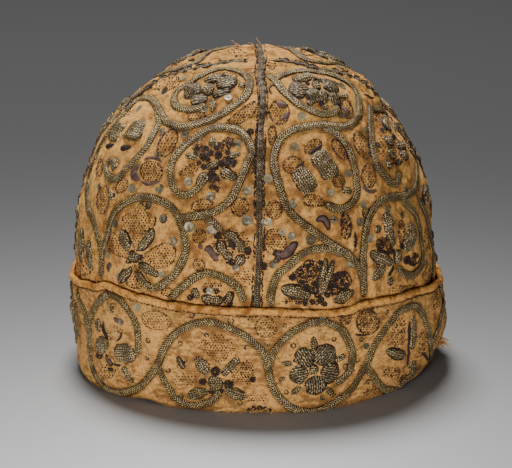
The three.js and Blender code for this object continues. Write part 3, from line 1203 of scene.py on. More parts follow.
# Embroidery of the crown's front, in the photograph's pixels
CROWN_FRONT = Layout(
    tendrils=(
        # Upper left coil, running on into the one at its left
        ((213, 110), (213, 101)),
        ((206, 105), (196, 109), (185, 109.5), (177, 107), (174, 101), (177, 92), (190, 83.5),
         (203, 76), (214, 71), (228, 70), (241, 73), (249, 80), (249, 88), (245, 97), (235, 105),
         (220, 115), (200, 123.5), (180, 126.5), (166, 121), (159, 110), (154, 102), (149, 98),
         (141, 99), (134, 104), (127, 111), (120, 119), (111.5, 131), (104, 141), (98, 152), (94, 164),
         (90, 176), (87.5, 193), (89, 209), (95, 225), (100, 243), (102, 262), (101, 276)),
        ((154, 101), (158, 108), (159, 116), (158, 125), (153, 135), (148, 145), (141, 154),
         (134, 161), (126, 170), (120, 177), (113, 179), (108, 175), (107, 166), (110, 161),
         (118, 163)),
        # Left of the middle
        ((178, 218), (187, 217), (202, 215), (218, 210), (230, 200), (237, 188), (243, 174),
         (248, 162), (252, 152), (247, 139), (239, 131), (227, 128), (214, 128), (202, 133),
         (190, 141), (179, 152), (172, 163), (171, 174), (173, 186), (180, 194), (188, 195),
         (197, 189), (202, 181)),
        # Lower left
        ((102, 262), (103, 249), (107, 238), (111, 222), (116, 211), (124, 204), (137, 198),
         (150, 198), (163, 202), (173, 209), (180, 222), (184, 236), (186, 246), (185, 254),
         (181, 264), (173, 276), (160, 286), (152, 288), (143, 281), (137, 271)),
        # Under the middle left coil
        ((203, 217), (211, 221), (217, 226), (222, 231)),
        ((172, 299), (175, 294), (179, 290), (185, 285), (191, 280), (199, 275), (206, 273),
         (213, 274), (220, 276), (229, 281), (236, 286), (241, 293), (244, 302)),
        # Upper right coil and the long one that runs on from it
        ((268, 75), (276, 82), (285, 93), (297, 103.5), (311, 110.5), (323, 114), (334, 112),
         (338, 106)),
        ((274, 79), (287, 74), (301, 71), (318, 73), (332, 76), (346, 82), (355, 90), (359, 102),
         (358, 116), (350, 125), (339, 127), (322, 125), (304, 127), (290, 132), (280, 140),
         (275, 153), (274, 164), (277, 178), (281, 192), (287, 207), (296, 218), (304, 224),
         (313, 231), (322, 237), (329, 242), (338, 248), (346, 253), (353, 260), (359, 268),
         (363, 282), (364, 297)),
        ((322, 128), (333, 132), (343, 141), (350, 153), (354, 167), (356, 181), (356, 196),
         (348, 206), (337, 209), (326, 204)),
        # Right
        ((369, 106), (370, 118), (371, 138), (373, 151), (376, 164), (382, 173), (391, 183),
         (397, 182), (399, 173)),
        ((370, 109), (376, 109), (383, 111), (391, 119), (397, 130), (404, 139), (410, 151),
         (415, 161), (416, 175), (415, 188), (407, 195), (398, 197), (386.5, 198), (381, 201),
         (375.5, 206), (371, 213), (367.5, 221), (365.5, 230), (364, 240), (363, 254), (362.5, 266),
         (363, 282), (364, 296)),
        ((401, 199.5), (406, 204.5), (412.5, 211), (416.5, 218), (418.5, 226), (419.5, 235),
         (421, 244), (422, 254), (421, 263), (418, 270), (412.5, 275), (406, 275), (401, 271.5),
         (398, 267)),
        ((417, 196), (421.5, 206), (426, 219), (429, 232), (431, 246), (432, 262), (431, 282)),
        # Lower right, against the cuff
        ((271, 306), (270.5, 299), (272.5, 288), (277.5, 275), (286, 268), (293.5, 261), (302, 254),
         (311, 250), (321.5, 248.5), (333, 250), (344, 254)),
    ),
    pads=(
        # Upper left flower
        dull_disc(13, (186, 99), (193, 92), (200, 85)), dull_disc(8, (205, 82), (214, 80.5), (223, 81)),
        dull_disc(11, (217, 87), (227, 84), (237, 80)), dull_disc(8, (212, 95), (221, 93), (231, 91)),
        dull_disc(9, (191, 102), (199, 100), (208, 99)), disc(209.5, 90, 5.5, Thread.METAL, True),
        strap(4.5, (212.5, 99), (212.8, 105), (212.5, 111)), leaf(238, 88, 245, 84, 5),
        # Upper right flower
        dull_disc(14, (288, 89), (298, 90.5), (308, 90)), petal(7, (292, 81), (304, 79), (318, 80)),
        dull_disc(9.5, (320, 81), (328, 86), (336, 94)),
        dull_disc(12, (307, 90), (313, 96), (319, 103)), dull_disc(9, (320, 91), (323, 97), (325, 104)),
        dull_disc(10, (329, 94), (333, 99), (336, 106)), disc(315, 87, 4.0, Thread.METAL, True),
        leaf(337, 97, 347, 98, 5.5), leaf(306, 101, 313, 105, 5), leaf(322, 108, 328, 107, 4.5),
        silk(6, (276, 104), (282, 106), (288, 105)), silk(5, (281, 120), (286, 117), (289, 112)),
        silk(4, (342, 107), (346, 111), (347, 117)), dark(3, (363, 94.5), (368, 97.5), (373, 98.5)),
        dark_bar(1.6, (277, 85), (271, 86), (269, 90), (272, 95)),
        # Flower left of the middle
        edged_strap(5, (219, 160), (214, 165), (207, 169)), leaf(213, 149, 213, 137, 7),
        leaf(198, 159, 186, 156, 6), leaf(228, 157, 241, 154, 6), leaf(220, 171, 237, 178, 10, True),
        leaf(207, 173, 198, 188, 10, True),
        # Acorns
        strap(17, (315.5, 152), (324, 165), (332.5, 178)),
        dark_bar(3.4, (308, 155), (315, 150), (322, 145)),
        strap(17, (296, 168.5), (303.5, 180), (311, 192.5)),
        dark_bar(2.2, (295, 169), (299, 165.5), (304, 161.5)), leaf(352, 192, 340, 190, 7),
        # Right flower
        petal(6, (385, 119), (384, 126), (389, 132)), leaf(392, 121, 394, 133, 5),
        disc(387, 142, 4.2, Thread.METAL, True), disc(390, 154, 4.6, Thread.METAL, True),
        disc(402, 156, 4.4, Thread.METAL, True), disc(388, 165, 3.4, Thread.METAL, True),
        disc(399, 147, 3.6, Thread.METAL, True),
        Pad(((362, 186), (368, 192), (375, 191)), 4, PadForm.BAR, Thread.BROWN),
        # Left pods
        strap(15, (142, 121), (136, 132), (131, 142)), dark(8, (122, 148), (127, 149), (132, 147)),
        strap(11, (124, 124), (117, 134), (112, 142)), dark(6, (107, 146), (111, 147), (116, 145)),
        strap(4, (112, 169), (116, 165), (114, 161)),
        # Worn pod on brown silk
        silk(8, (140, 164), (134, 173), (140, 181)), silk(4, (145, 160), (154, 158), (163, 162)),
        silk(4, (141, 181), (150, 185), (161, 181)),
        # Lower left flower
        disc(135, 256, 5.2, Thread.METAL, True), leaf(130, 250, 122, 230, 9, True),
        leaf(140, 250, 155, 229, 9, True), leaf(139, 263, 160, 275, 8, True),
        leaf(132, 267, 120, 282, 8, True), silk(6, (113, 263), (110, 267), (111, 272)),
        leaf(114, 190, 113, 201, 5),
        # Crescent flower by the front seam
        edged_strap(7.5, (224, 233), (234, 237), (240, 243), (243, 252)),
        edged_strap(7, (221, 240), (222, 249), (226, 254), (232, 258)),
        dark(6, (228, 238), (232, 244), (235, 250)), petal(8, (243, 254), (240, 260), (236, 265)),
        Pad(((206, 247), (212, 252), (219, 260)), 7.5, PadForm.BAR, Thread.BROWN, True),
        silk(5, (200, 243), (200.5, 246), (203, 249)), disc(220.5, 257, 3.0, Thread.LINEN),
        # Half flower against the cuff, left
        edged_strap(6, (193.5, 288), (196, 292), (199, 297)),
        edged_strap(6.5, (229, 291), (229.5, 296), (225, 303)),
        petal(9, (202, 296), (212, 300), (224, 299)),
        # Half flower against the cuff, right
        petal(6, (325, 258), (322, 275), (319.5, 295)),
        petal(5.5, (333, 260), (328, 276), (321.5, 294)), leaf(281, 287, 310, 296, 12, True),
        leaf(332, 300, 353, 291, 10.5, True),
        # By the left outline
        leaf(83, 262, 84, 228, 9, True), leaf(91, 268, 91, 240, 7, True),
        blade(6, (80, 206), (81, 214), (80, 222)),
        # Worn dark silk by the front seam, right
        silk_petal(10, (297, 242), (290, 248), (284, 253), (273, 252)),
        dull(6, (281, 255), (277, 259), (274, 263)),
        silk_petal(5, (316, 221), (321, 218), (326, 222), (328, 230)),
        dull(5, (328, 220), (332, 219), (336, 221)), dark(3, (354, 231), (355, 240), (354, 249)),
        # Large flower at the right
        Pad(((392, 245), (387, 229), (385, 212)), 14, PadForm.FAN, Thread.METAL),
        blade(11, (402, 250), (409, 238), (408, 221)), leaf(391, 263, 369, 252, 12, True),
        leaf(384, 264, 371, 280, 10), edged_strap(7, (395.5, 249), (396, 256), (397.5, 264)),
        dull(6, (377, 225), (376, 229), (378, 233)), dark(4, (392, 264), (391, 270), (387, 276)),
        dull(6, (392, 278), (389, 281), (386, 283)), petal(7, (424, 190), (423, 196), (425, 203)),
        dark(4, (428, 207), (430, 214), (431, 222)), leaf(409, 196, 402, 202, 5),
    ),
    speckles=(
        Speckle(((152, 90), (158, 81), (170, 77), (181, 80), (178, 86), (166, 91))),
        Speckle(((187, 113), (202, 111), (206, 117), (191, 121))),
        Speckle(((228, 121), (240, 111), (254, 103), (256, 111), (248, 120), (234, 125))),
        spot(168, 143.5, 8, 15, 29, 3.3), spot(230, 77, 7, 4), spot(279, 113, 10, 12),
        spot(272, 67, 4, 4, 0, 2.6), spot(272, 136, 4, 9), spot(346, 110, 5, 9, -20),
        spot(361, 146, 7, 14, -24, 3.3), spot(302, 93, 6, 4, 0, 2.5), spot(330, 86, 7, 4, 0, 2.6),
        spot(201, 151, 10, 7, 35, 2.2, False, 1.15), spot(226, 145, 11, 5.5, -48, 2.2, False, 1.15),
        spot(229, 162, 9, 6, 15, 2.1, False, 1.3), spot(190, 170, 11, 5, -28, 2.3, False, 1.1),
        spot(215, 183, 6, 10, -10, 2.2, False, 1.15), spot(202, 205, 11, 5, -15),
        spot(240, 207, 9, 9, -20, 2.6), spot(251, 166, 3, 9, 5, 2.6), spot(312.5, 147.5, 9.5, 6.5, -34),
        spot(292.5, 165.5, 9.5, 8.5, 0, 3.2), spot(338, 182, 6, 6, 0, 2.4),
        Speckle(((300, 200), (308, 195), (322, 198), (324, 205), (308, 206))),
        spot(274, 210, 8, 9, 0, 2.6), spot(339, 150, 5, 12, -35, 2.6), spot(368, 176, 7, 12, 0, 3.0),
        spot(390, 148, 13, 18, -20, 3.4, False, 0.9), spot(380, 119, 5, 6, 0, 2.6),
        spot(152, 172, 11, 10, 0, 2.6),
        Speckle(((136, 249), (124, 219), (134, 212), (142, 203), (148, 212), (157, 219), (140, 250))),
        Speckle(((130, 252), (116, 233), (108, 240), (110, 250), (129, 258))),
        Speckle(((142, 256), (165, 243), (175, 248), (173, 262), (158, 268), (143, 262))),
        Speckle(((134, 264), (128, 282), (138, 288), (150, 285), (143, 270))),
        spot(105, 200, 6, 14, 8, 2.6), spot(123, 186, 5, 8, 30, 2.6), spot(101, 168, 3, 9, 8, 2.4),
        spot(128, 97, 4, 7, 50, 2.2, False), spot(128, 113, 3, 9, 42, 2.6, False),
        spot(82, 243, 5, 14, 0, 2.6), spot(86, 268, 8, 7, 0, 2.8), spot(93, 282, 7, 3, 0, 2.8, False),
        spot(232, 246, 20, 18, 35, 3.1, False, 1.2), spot(200, 236, 7, 7, 0, 2.4),
        spot(199, 265, 6, 6, 0, 2.6), spot(243, 278, 11, 9, 20, 2.9, False),
        spot(168, 292, 6, 4, 0, 2.8), spot(212, 285, 10, 4, 0, 2.8, False),
        Speckle(((298, 268), (310, 260), (322, 268), (319, 288), (305, 286), (292, 276)),
         2.1, True, 1.3),
        Speckle(((332, 274), (343, 271), (350, 279), (346, 287), (337, 293), (326, 294)),
         2.1, True, 1.3),
        Speckle(((280, 300), (300, 297), (322, 302), (320, 304), (285, 303)), 2.4, False, 1.2),
        spot(275, 242, 11, 13), spot(345, 226, 5, 13, -4, 2.3, True, 1.2),
        spot(382, 246, 7, 9, -30, 2.2, True, 1.3), spot(399.5, 234, 3, 14, 0, 2.7),
        spot(412.5, 259.5, 5, 6, 0, 2.2, True, 1.2), spot(365, 213, 4, 5, 0, 2.6),
        spot(354, 244, 2, 9, 0, 2.4, False), spot(426, 240, 3, 12, -6, 2.4, False),
        spot(425, 272, 5, 10, 0, 2.6, False), spot(402, 287, 16, 3, -8, 2.6, False),
        spot(396, 108, 4, 9, -38, 2.8, False),
    ),
    spangles=(
        (184, 79, 4), (165, 92, 4), (205, 110, 3.6), (229, 98, 4.2), (199, 139, 4.4), (186, 135, 4),
        (238, 144, 4.2), (163, 132, 3.6), (311, 68, 4), (306, 74, 3.6), (341, 87, 4), (301, 117, 4.2),
        (355, 79, 3.4), (294, 148, 4.2), (365, 131, 3.8), (340, 116, 3.8), (268, 179, 4.6),
        (348, 174, 3.8), (330, 193, 3.6), (293, 204, 4.4), (266, 221, 5), (189, 182, 4.4),
        (211, 197, 4.6), (247, 191, 4.4), (247, 221, 5.4), (164, 219, 4.4), (174, 241, 4.4),
        (117, 224, 4), (149, 206, 4), (163, 273, 4.2), (140, 109.5, 4), (165, 91, 4), (159, 155, 4),
        (133, 189, 4.6), (160, 189, 4.8), (101.6, 187, 3.2), (190, 227, 5.2), (212, 230.5, 5.2),
        (210.5, 290, 3.6), (273, 264, 4), (291, 236, 3.8), (310, 240, 5), (359, 222, 4),
        (351, 262.5, 5.2), (332, 220, 3.6), (362, 205, 4), (360, 221, 3.4), (369, 238.5, 4.2),
        (386, 210, 4.2), (400, 215.5, 3.6), (389, 281, 4.6), (236, 267, 3.4), (110, 255, 3.4),
        (282, 232, 3.4), (120, 276, 3.6), (377, 146, 3.4), (405, 190, 3.6),
    ),
    blots=(
        (201, 92, 2.6), (223, 79, 2.0), (235, 82, 2.4), (229, 87, 1.8), (201, 106, 2.2),
        (250, 132, 3.4), (307, 85, 2.0), (319, 82, 2.4), (318, 97, 2.0), (321, 104, 2.6),
        (204, 157, 4.0), (211, 154, 3.0), (219, 156, 3.6), (222, 164, 3.6), (204, 167, 3.0),
        (212, 174, 3.8), (229, 160, 2.6), (198, 149, 2.2), (333.5, 173, 3.8), (310, 189, 3.8),
        (382, 131, 2.8), (392, 138, 3.0), (397, 163, 3.2), (130, 261, 2.6), (141, 257, 2.6),
        (248, 251, 3.6), (232, 262, 3.6), (218, 236, 3.4), (191, 297, 3.0), (230, 303, 3.0),
        (206, 290, 2.6), (217, 291, 2.6), (311, 290, 4.0), (328, 286, 4.2), (292, 277, 3.2),
        (320, 299, 3.6), (335, 277, 3.2), (263, 266, 4.0), (389.5, 251, 3.4), (405.5, 260, 4.0),
        (400, 246, 3.0), (208, 160, 2.6), (216, 168, 2.6), (199, 163, 2.2), (196, 155, 2.0),
        (207, 149, 2.2), (217, 149, 2.4), (227, 165, 2.4), (208, 180, 2.2), (217, 179, 2.4),
        (234, 163, 2.2), (228, 153, 2.4), (220, 145, 1.8), (233, 145, 1.8), (215, 187, 1.8),
        (306, 287, 3.4), (317, 294, 3.6), (302, 282, 2.6), (314, 283, 2.6), (333, 284, 2.8),
        (342, 281, 2.4), (346, 285, 2.2), (326, 294, 2.8), (312, 301, 2.8), (305, 303, 2.2),
        (323, 303, 2.8), (316, 269, 2.4), (308, 266, 2.0), (320, 262, 2.2), (340, 274, 2.2),
        (382, 243, 2.6), (378, 250, 2.2), (386, 238, 2.2), (413, 257, 2.6), (410, 263, 2.6),
    ),
)

# Embroidery of the cuff's front
CUFF_FRONT = Layout(
    tendrils=(
        ((108, 294), (101, 300), (96.5, 305), (92.5, 313), (91, 323), (90, 331), (89.5, 339),
         (90, 347), (91, 359), (93, 367), (96, 375), (100, 382), (106, 388), (113, 391), (123, 392),
         (131, 390), (139, 387), (145, 382), (151, 374.5), (155.5, 369), (159.5, 361), (163, 351),
         (167, 344), (172, 337), (179, 331), (186, 327), (194, 324), (203, 322.5), (213, 322.5),
         (221, 325), (230, 328.5), (238.5, 332), (247, 337.5), (254.5, 344), (262, 351.5), (266, 361),
         (268.5, 371), (271, 381), (275, 391), (281, 399), (290, 406.5), (300, 410.5), (309, 411.5),
         (319, 410), (328, 406), (337, 401), (345, 395), (352, 388), (357, 380), (362, 371),
         (367, 363), (371, 352), (375.5, 343), (381, 335), (386, 327), (392.5, 319), (398.5, 312),
         (405.5, 308), (413, 306), (419, 309), (423, 314.5), (426, 323), (428.5, 332), (430, 341),
         (430.5, 351), (429, 359)),
        ((109, 294), (118, 298), (123, 303), (128, 309), (132, 315), (135.5, 321), (137.5, 329),
         (138, 337), (138.5, 346), (137.5, 354)),
        ((159.5, 367), (163, 378), (169, 388), (174.5, 397), (180, 401), (187, 404), (196, 405),
         (203, 404), (210.5, 401), (216, 397), (219, 391)),
        ((269, 368), (271, 359), (274, 351), (279.5, 344), (286, 337.5), (292.5, 332), (300, 328),
         (308, 324), (317, 322), (326, 322.5), (335, 326), (342, 330), (346.5, 337.5), (350, 345),
         (352, 354), (351, 362.5), (349.5, 370), (345, 376), (340, 380.5), (335, 383)),
        ((364, 364), (368, 370), (373, 375), (377, 382), (383, 388), (390, 390), (397, 388),
         (404, 381), (411.5, 374), (418, 368)),
        ((439, 285), (442, 296), (442, 307), (440, 318), (438, 327), (434, 337), (431, 344)),
        ((78, 292), (81, 303), (85, 311), (87, 321), (88, 330)),
        ((76.5, 304), (77, 315), (78, 326), (80, 336)),
    ),
    pads=(
        # Worn flower, left
        disc(126, 353, 10.3), strap(5.5, (124, 366), (127, 372), (132, 379)),
        blade(14, (100, 336), (103, 344), (107, 353)), dark(3.6, (103, 321), (104.5, 330), (109, 339)),
        blade(5.5, (100, 318), (99, 325), (101, 332)), worn(12, (110, 325), (115, 333), (117, 341)),
        dark(2.6, (124, 329), (122, 336), (116, 342)), strap(3, (113, 303), (112, 308), (115, 314)),
        silk(5.5, (114, 317), (119, 321), (125, 322)),
        silk_petal(5, (107, 354), (109, 360), (114, 364)), dark(3, (114, 363), (118, 365), (122, 365)),
        dark(4, (108, 367), (111, 370), (114, 368)), dark(4, (155, 302), (158, 302), (162, 302)),
        # Four-petalled flower
        disc(215.6, 382.3, 7.8, Thread.METAL, True), blade(11.5, (208, 374.5), (203, 366), (196, 356)),
        strap(7.5, (222, 375), (230, 367), (239, 358)), leaf(209, 390, 187.5, 396, 12),
        leaf(223.5, 390, 247, 397, 11), dull_petal(4.5, (179, 356), (180, 362), (185, 368)),
        # Rose
        dull_petal(19, (310, 366), (304, 356), (299, 348)),
        dull_petal(20, (317, 364), (325, 354), (332, 345)),
        dull_petal(19, (320, 371), (328, 372), (338, 374)),
        dull_petal(19, (314, 375), (315, 384), (315, 395)),
        dull_petal(19, (308, 372), (300, 374), (289, 377)), disc(313.4, 369.5, 4.6, Thread.METAL, True),
        leaf(313.3, 350, 313.4, 336, 7), leaf(292.5, 364, 281, 361.5, 6), leaf(301, 386, 291, 394, 6),
        leaf(325.5, 386, 334, 397, 5.5), leaf(334, 360.5, 345, 353.5, 6),
        # Thistle, right
        dark_bar(2.6, (407.7, 321), (407.5, 340), (407, 358), (407, 366)),
        blade(6.5, (412, 315), (412, 332), (411, 350)), petal(9, (385.5, 350), (394, 353), (405, 356)),
        petal(7, (412, 361), (412, 367), (409, 372)), dark(4, (420, 352), (424, 355), (426, 360)),
        worn(8, (380, 377), (391, 381), (401, 385)), dark(3, (354, 334), (360, 335), (367, 334.5)),
        # Worn lower edge
        worn(3, (214, 411), (230, 408.5), (244, 411)), worn(3, (245, 404.5), (257, 403), (273, 406)),
    ),
    speckles=(
        spot(157, 320, 15, 9, 12, 3.0, True, 0.8),
        Speckle(((193, 345), (219, 332), (239, 347), (229, 357), (220, 365), (211, 357)),
         3.0, False, 0.9),
        Speckle(((231, 372), (240, 361), (252, 360), (255, 372), (250, 384), (232, 381)), 2.7, False),
        Speckle(((172, 377), (184, 373), (199, 374), (201, 380), (186, 387), (173, 384)),
         3.2, False, 0.9),
        spot(182, 364, 6, 5, 0, 2.4, False, 0.9), spot(266, 327, 11, 10, 0, 3.0, True, 0.9),
        spot(345, 319, 6, 5, -40, 2.4), spot(367, 322, 11, 12, 0, 2.5, True, 1.1),
        spot(250, 316, 6, 4, 0, 2.8, False, 0.9), spot(256, 397, 12, 5, 0, 3.0, False, 0.9),
        spot(397, 332, 7, 16, 12, 2.6, False, 1.1), spot(421, 343, 5, 13, 0, 2.6, False, 1.1),
        spot(391, 371, 9, 6, 0, 2.6, False, 1.1), spot(402, 379, 8, 5, -30, 2.4, False, 1.1),
        spot(108, 372, 9, 7, 0, 2.9, False), spot(114, 333, 9, 8, 20, 1.9, False, 0.7),
        spot(103, 296, 4, 3, 0, 2.6, False, 0.8), spot(398, 296, 16, 4, -14, 2.5, False),
        spot(300, 315, 22, 3, 0, 3.4, False, 0.7), spot(340, 396, 6, 4, 0, 3.0, False, 0.8),
        spot(372, 391, 10, 4, -8, 2.8, False, 0.9), spot(133, 300, 5, 3, 25, 2.8, False, 0.8),
        spot(413, 296, 10, 4, -14, 2.6, False), spot(434, 300, 4, 10, 0, 2.4, False),
    ),
    spangles=(
        (122, 322, 3.4), (138, 307, 3.8), (366, 346, 3.2), (322.5, 317, 3.2),
    ),
    knots=(
        (192, 315), (231, 320.5), (207.5, 335), (246.5, 347), (181, 343), (169.5, 370), (182, 396),
        (266, 343.5), (292.5, 345), (333, 339), (282, 379), (343.5, 366), (357, 360), (285.5, 325),
        (361.5, 339), (367.5, 382), (286, 392), (322, 397), (148, 358), (132, 380), (103, 378),
        (148, 340), (240, 402), (371, 310), (386, 312),
    ),
    blots=(
        (100.5, 355.5, 3.4), (215.6, 371, 4.8), (229, 383.8, 5.2), (203, 381, 3.6), (212, 391, 3.2),
        # From (249, 409) on: black stitches along the cuff's lower edge, painted shade of the gap under
        # it.
        (220, 391, 3.0), (253, 379, 2.8), (249, 409, 1.6), (254, 407.5, 2.2), (260, 407, 2.4),
        (265, 408, 2), (270, 409.5, 1.5),
    ),
    side_tendrils=(
        ((84.5, 46), (88, 50), (93, 51), (98, 49), (102, 43), (103.5, 34), (102, 24), (98, 16),
         (93, 13), (89, 16), (87, 23), (88, 30), (91, 34)),
    ),
    side_pads=(
        blade(4, (94, 30), (96, 36), (97, 42)), blade(5, (95, 27), (98, 29), (100, 33)),
        blade(5, (94, 25), (96, 21), (98, 19)), blade(4, (91, 42), (93, 43), (95, 42)),
    ),
)


def level_and_rise(normal: np.ndarray) -> tuple[np.ndarray, np.ndarray]:
    """The level direction in a surface with a normal, and the one up it."""
    level = unit(np.array([-normal[1], normal[0], 0.0]))
    return level, np.cross(normal, level)


def seed_template(size: float = 1.0) -> bmesh.types.BMesh:
    """A seed stitch: a low blunt cone.

    Args:
        size: Its size against the usual one.

    Returns:
        Its shape.
    """
    bm = bmesh.new()
    bmesh.ops.create_cone(
        bm, cap_ends=True, segments=5, radius1=0.56 * size, radius2=0.3 * size, depth=0.6
    )
    bmesh.ops.scale(bm, vec=(1.25, 0.85, 1.0), verts=bm.verts)
    return bm


def stitch_rows(
    bundle: "Bundle",
    spine: Spine,
    picker: random.Random,
    rows: Sequence[float],
    pitch: float,
    sizes: tuple[float, float],
    lift: float,
) -> None:
    """Adds rows of stitches beside a spine.

    Args:
        bundle: The piece to add them to.
        spine: The spine.
        picker: Source of their small differences.
        rows: How far to its side each row is.
        pitch: From one stitch to the next.
        sizes: Their smallest and greatest length.
        lift: How far they stand off the spine.
    """
    along = spine.along
    onwards = unit(np.gradient(spine.points, axis=0))
    across = np.cross(spine.normals, onwards)
    at, axes = [], []
    for row in rows:
        for place in np.arange(1.0, along[-1], pitch):
            i = int(np.searchsorted(along, place + picker.uniform(-0.25, 0.25)))
            i = min(max(i, 0), len(along) - 1)
            aside = across[i] * (row + picker.uniform(-0.25, 0.25))
            at.append(spine.points[i] + aside + spine.normals[i] * lift)
            size = picker.uniform(*sizes)
            axes.append(np.stack([onwards[i] * size, -across[i] * size * 0.8, spine.normals[i]]))
    bundle.stamp(seed_template(), np.array(at), np.array(axes))


def spangle_template() -> bmesh.types.BMesh:
    """A thin dished disc of unit radius with a hole.

    Returns:
        Its shape.
    """
    bm = bmesh.new()
    ring = bmesh.ops.create_circle(bm, segments=16, radius=1.0)["verts"]
    for share, rise in ((0.55, -0.08), (0.3, 0.05)):
        rim = [edge for edge in bm.edges if edge.verts[0] in ring and edge.verts[1] in ring]
        made = bmesh.ops.extrude_edge_only(bm, edges=rim)["geom"]
        ring = [item for item in made if isinstance(item, bmesh.types.BMVert)]
        bmesh.ops.scale(bm, vec=(share, share, 1.0), verts=ring)
        bmesh.ops.translate(bm, vec=(0, 0, rise), verts=ring)
    bmesh.ops.solidify(bm, geom=bm.faces[:], thickness=0.09)
    return bm


def scatter(speckle: Speckle, picker: random.Random) -> list[Pixel]:
    """Pixels of a field's stitches.

    Args:
        speckle: The field.
        picker: Source of their small differences.

    Returns:
        One pixel for each stitch.
    """
    outline = np.array(speckle.outline)
    low, high = outline.min(0), outline.max(0)
    after = np.roll(outline, -1, 0)
    found: list[Pixel] = []
    row = 0
    y = low[1]
    while y <= high[1]:
        x = low[0] + (row % 2) * speckle.pitch / 2
        while x <= high[0]:
            px = x + picker.uniform(-0.45, 0.45)
            py = y + picker.uniform(-0.45, 0.45)
            rising = (outline[:, 1] > py) != (after[:, 1] > py)
            span = np.where(rising, after[:, 1] - outline[:, 1], 1.0)
            cross = outline[:, 0] + (py - outline[:, 1]) / span * (after[:, 0] - outline[:, 0])
            if np.count_nonzero(rising & (px < cross)) % 2:
                found.append((px, py))
            x += speckle.pitch
        y += speckle.pitch * 0.87
        row += 1
    if speckle.rim:
        edge = smooth_route(list(map(tuple, outline)), 2.0, closed=True)[:-1]
        found.extend((x + picker.uniform(-0.2, 0.2), y + picker.uniform(-0.2, 0.2)) for x, y in edge)
    return found


@dataclass
class Worked:
    """A layout's places on its cloth, once for the front and once turned round to the back."""

    cloth: Cloth
    layout: Layout
    view: PhotoView
    turns: tuple[float, ...] = (0.0, 180.0)
    tendril_step: float = 1.4
    narrowest: float = 0.45
    seed: int = 11
    tendrils: list[np.ndarray] = field(default_factory=list)
    pads: list[tuple[Pad, np.ndarray]] = field(default_factory=list)
    seeds: np.ndarray = field(init=False)
    seed_sizes: list[float] = field(default_factory=list)

    def __post_init__(self) -> None:
        """Finds the places of the tendrils, pads and seed stitches."""
        picker = random.Random(self.seed)
        pixels = []
        for speckle in self.layout.fields():
            found = scatter(speckle, picker)
            pixels.extend(found)
            self.seed_sizes.extend(speckle.size * picker.uniform(0.6, 1.3) for _ in found)
        self.seeds = self.chart(np.array(pixels))
        self.tendrils = [self.chart(smooth_route(r, self.tendril_step)) for r in self.layout.tendrils]
        for pad in self.layout.pads:
            length = sum(math.dist(a, b) for a, b in zip(pad.route, pad.route[1:]))
            self.pads.append((pad, self.chart(smooth_route(pad.route, length / 11))))
        for route in self.layout.side_tendrils:
            self.tendrils.append(self.aside(route, self.tendril_step))
        self.pads.extend((pad, self.aside(pad.route, 0.8)) for pad in self.layout.side_pads)

    @staticmethod
    def aside(route: Route, step: float) -> np.ndarray:
        """Places of a route given in bearings and in millimetres up the cuff.

        Args:
            route: The route.
            step: Millimetres between two places.

        Returns:
            Bearings and shares of the way up.
        """
        degree = math.radians(CROWN_RADIUS)
        flat = smooth_route([(bearing * degree, up) for bearing, up in route], step)
        return flat / np.array([degree, CUFF_HEIGHT])

    def chart(self, pixels: np.ndarray) -> np.ndarray:
        """Places on the cloth's front that fall on pixels."""
        return self.view.places(self.cloth, pixels)

    def shown_width(self, places: np.ndarray) -> float:
        """How wide a unit width across a shape looks in the photograph.

        Args:
            places: The shape's line.

        Returns:
            A share, not below the narrowest.
        """
        middle = len(places) // 2
        points, normals = self.cloth.lay(places[:, 0], places[:, 1])
        across = unit(np.cross(normals[middle], points[-1] - points[0]))
        return max(self.view.seen(across), self.narrowest)

    def turned(self, places: np.ndarray) -> list[np.ndarray]:
        """The same places on each side of the cap."""
        return [places + np.array([turn, 0.0]) for turn in self.turns]

    def spine(self, places: np.ndarray, step: float, half: float, height: float) -> Spine:
        """Even spine along places on the cloth.

        Args:
            places: Bearings and shares of the way up.
            step: Distance between its points.
            half: Its half width.
            height: Its height.

        Returns:
            The spine.
        """
        rough, _ = self.cloth.lay(places[:, 0], places[:, 1])
        along = distance_along(rough)
        keep = np.concatenate([[True], np.diff(along) > 1e-6])
        count = max(4, int(along[-1] / step) + 1)
        at = np.linspace(0, along[-1], count)
        bearing = np.interp(at, along[keep], places[keep, 0])
        up = np.interp(at, along[keep], places[keep, 1])
        for _ in range(2):
            bearing[1:-1] = (bearing[:-2] + 2 * bearing[1:-1] + bearing[2:]) / 4
            up[1:-1] = (up[:-2] + 2 * up[1:-1] + up[2:]) / 4
        return Spine.even(*self.cloth.lay(bearing, up), half, height)


